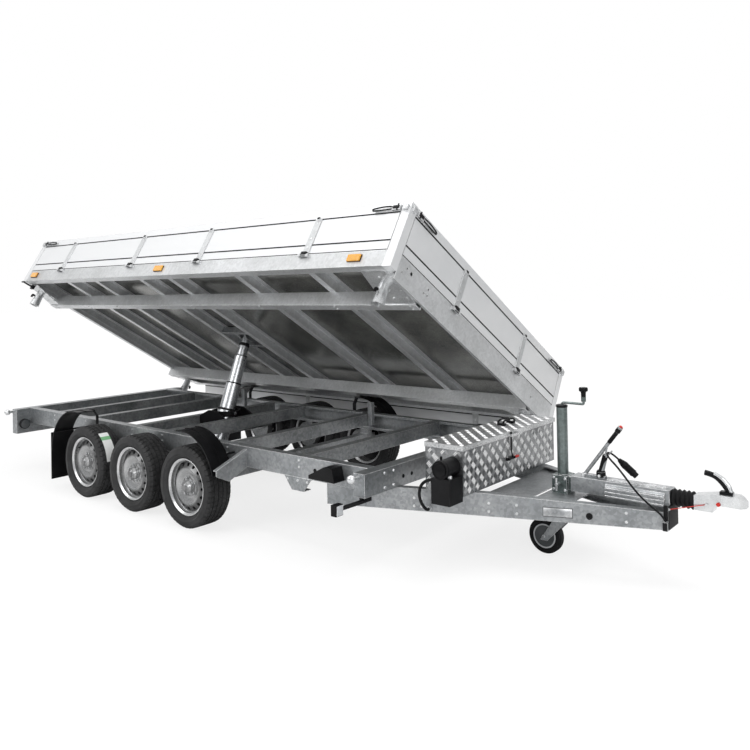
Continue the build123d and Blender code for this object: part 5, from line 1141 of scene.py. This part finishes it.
print("cylinder length", round((eye - foot).length))

# %% [markdown]
# The studio is a pale floor under a white world. Lamps and sky keep a plain level for the object, while
# the camera and mirror-like metal see a clean white, through the Light Path node. The world and the floor
# are graphs of nodes too, so the helpers for finishes build them.

# %% The world
SKY_LOW, SKY_WHITE_AT, SKY_LEVEL = (0.30, 0.31, 0.32), 0.55, 0.62
WALL_WAY, WALL_EDGE = (-0.64, 0.77, 0), (0.1, 0.6)


def seen_directly(made):
    """Light Path, and one for rays from the camera or through glass, else zero."""
    path = grow(made, "LightPath")
    most = reckon(made, "MAXIMUM", path, "Is Camera Ray")
    wire(made, path, "Is Transmission Ray", most, 1)
    return path, most


world = bpy.data.worlds.new("studio air")
world.use_nodes = True
bpy.context.scene.world = world
air = world.node_tree.nodes["Background"]
path, direct = seen_directly(world)
sky = grow(world, "TexCoord")
heights = grow(world, "SeparateXYZ")
wire(world, sky, "Generated", heights, 0)
dome = ramp(world, heights, "Z", [(0.0, SKY_LOW), (SKY_WHITE_AT, (1, 1, 1))])
print("world", world.name)

# %% [markdown]
# A bright wall stands behind the trailer in the reflections, as it did in the photographer's studio, and
# gives every top edge its light line. The world is that wall wherever a ray's way lies close to the
# wall's, by their dot product.

# %% The bright wall and the world's level
toward = grow(world, "VectorMath", operation="DOT_PRODUCT")
toward.inputs[1].default_value = WALL_WAY
wire(world, sky, "Generated", toward, 0)
screen = grow(world, "MapRange", From_Min=WALL_EDGE[0], From_Max=WALL_EDGE[1])
wire(world, toward, "Value", screen, "Value")
lit = grow(world, "MixRGB", blend_type="LIGHTEN", Fac=1.0)
wire(world, dome, "Color", lit, "Color1")
wire(world, screen, "Result", lit, "Color2")
blend = grow(world, "MixRGB", Color2=(1, 1, 1, 1))
wire(world, direct, "Value", blend, "Fac")
wire(world, lit, "Color", blend, "Color1")
wire(world, blend, "Color", air, "Color")
level = grow(world, "MapRange", To_Min=SKY_LEVEL, To_Max=1.0)
mirrored = reckon(world, "MAXIMUM", direct, "Value")
wire(world, path, "Is Glossy Ray", mirrored, 1)
wire(world, mirrored, "Value", level, "Value")
wire(world, level, "Result", air, "Strength")
print("wall toward", WALL_WAY)

# %% [markdown]
# The floor mixes its own white light with real shading, which leaves the trailer's shadow on it. Farther
# out its own light takes over, so that floor and background meet without a line.

# %% The floor
FLOOR_LEVEL, FLOOR_REACH, FLOOR_GREY, GLOW = -0.4452, 60, 0.84, 1.06
STAGE_MIDDLE = (-2.9, 0, -0.445)
SHADOW_REACH, GLOW_SHARES = (3.4, 7.0), (0.74, 1.0)
floor_finish = bpy.data.materials.new("studio floor")
floor_finish.use_nodes = True
surface = floor_finish.node_tree.nodes["Material Output"]
floor_finish.node_tree.nodes.remove(floor_finish.node_tree.nodes["Principled BSDF"])
chalk = grow(floor_finish, "BsdfDiffuse", Color=(FLOOR_GREY, FLOOR_GREY, FLOOR_GREY, 1))
glow = grow(floor_finish, "Emission", Color=(1, 1, 1, 1), Strength=GLOW)
direct = seen_directly(floor_finish)[1]
place = grow(floor_finish, "TexCoord")
away = grow(floor_finish, "VectorMath", operation="DISTANCE")
away.inputs[1].default_value = STAGE_MIDDLE
wire(floor_finish, place, "Object", away, 0)
fade = grow(floor_finish, "MapRange", From_Min=SHADOW_REACH[0], From_Max=SHADOW_REACH[1],
            To_Min=GLOW_SHARES[0], To_Max=GLOW_SHARES[1])
wire(floor_finish, away, "Value", fade, "Value")
share = reckon(floor_finish, "MULTIPLY", direct, "Value")
wire(floor_finish, fade, "Result", share, 1)
mixed = grow(floor_finish, "MixShader")
wire(floor_finish, share, "Value", mixed, 0)
wire(floor_finish, chalk, "BSDF", mixed, 1)
wire(floor_finish, glow, "Emission", mixed, 2)
wire(floor_finish, mixed, "Shader", surface, "Surface")

shape = bmesh.new()
bmesh.ops.create_grid(shape, x_segments=1, y_segments=1, size=FLOOR_REACH,
                      matrix=Matrix.Translation((0, 0, FLOOR_LEVEL)))
mesh = bpy.data.meshes.new("studio_floor")
shape.to_mesh(mesh)
shape.free()
mesh.materials.append(floor_finish)
floor = bpy.data.objects.new("studio_floor", mesh)
bpy.context.scene.collection.objects.link(floor)
floor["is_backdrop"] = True
print("floor at", FLOOR_LEVEL)

# %% [markdown]
# Three soft boxes do the lighting: a broad key from the camera's left, a fill from its right and one
# overhead that draws the top edges.

# %% Lamps
LAMP_TARGET = (-2.9, 0, 0.4)
SOFT_BOXES = (("key", (-5.5, -6.5, 4.5), (5, 4), 232), ("fill", (3.8, -4.2, 2.6), (4, 3), 150),
              ("top", (-3, 0.5, 6.5), (7, 4), 360))


def soft_box(name, place, size, power):
    data = bpy.data.lights.new(name, "AREA")
    data.shape = "RECTANGLE"
    data.size, data.size_y = size
    data.energy = power
    lamp = bpy.data.objects.new(name, data)
    lamp.location = place
    lamp.rotation_euler = (Vector(place) - Vector(LAMP_TARGET)).to_track_quat("Z", "Y").to_euler()
    bpy.context.scene.collection.objects.link(lamp)


for settings in SOFT_BOXES:
    soft_box(*settings)
print("lamps", len(bpy.data.lights))

# %% Sizes and the end
dressed_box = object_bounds()
sizes = {"cad": [list(corner) for corner in bare_box], "visual": [list(corner) for corner in dressed_box]}
for kind, (low, high) in sizes.items():
    print(kind, "box", [round(b - a, 4) for a, b in zip(low, high)])
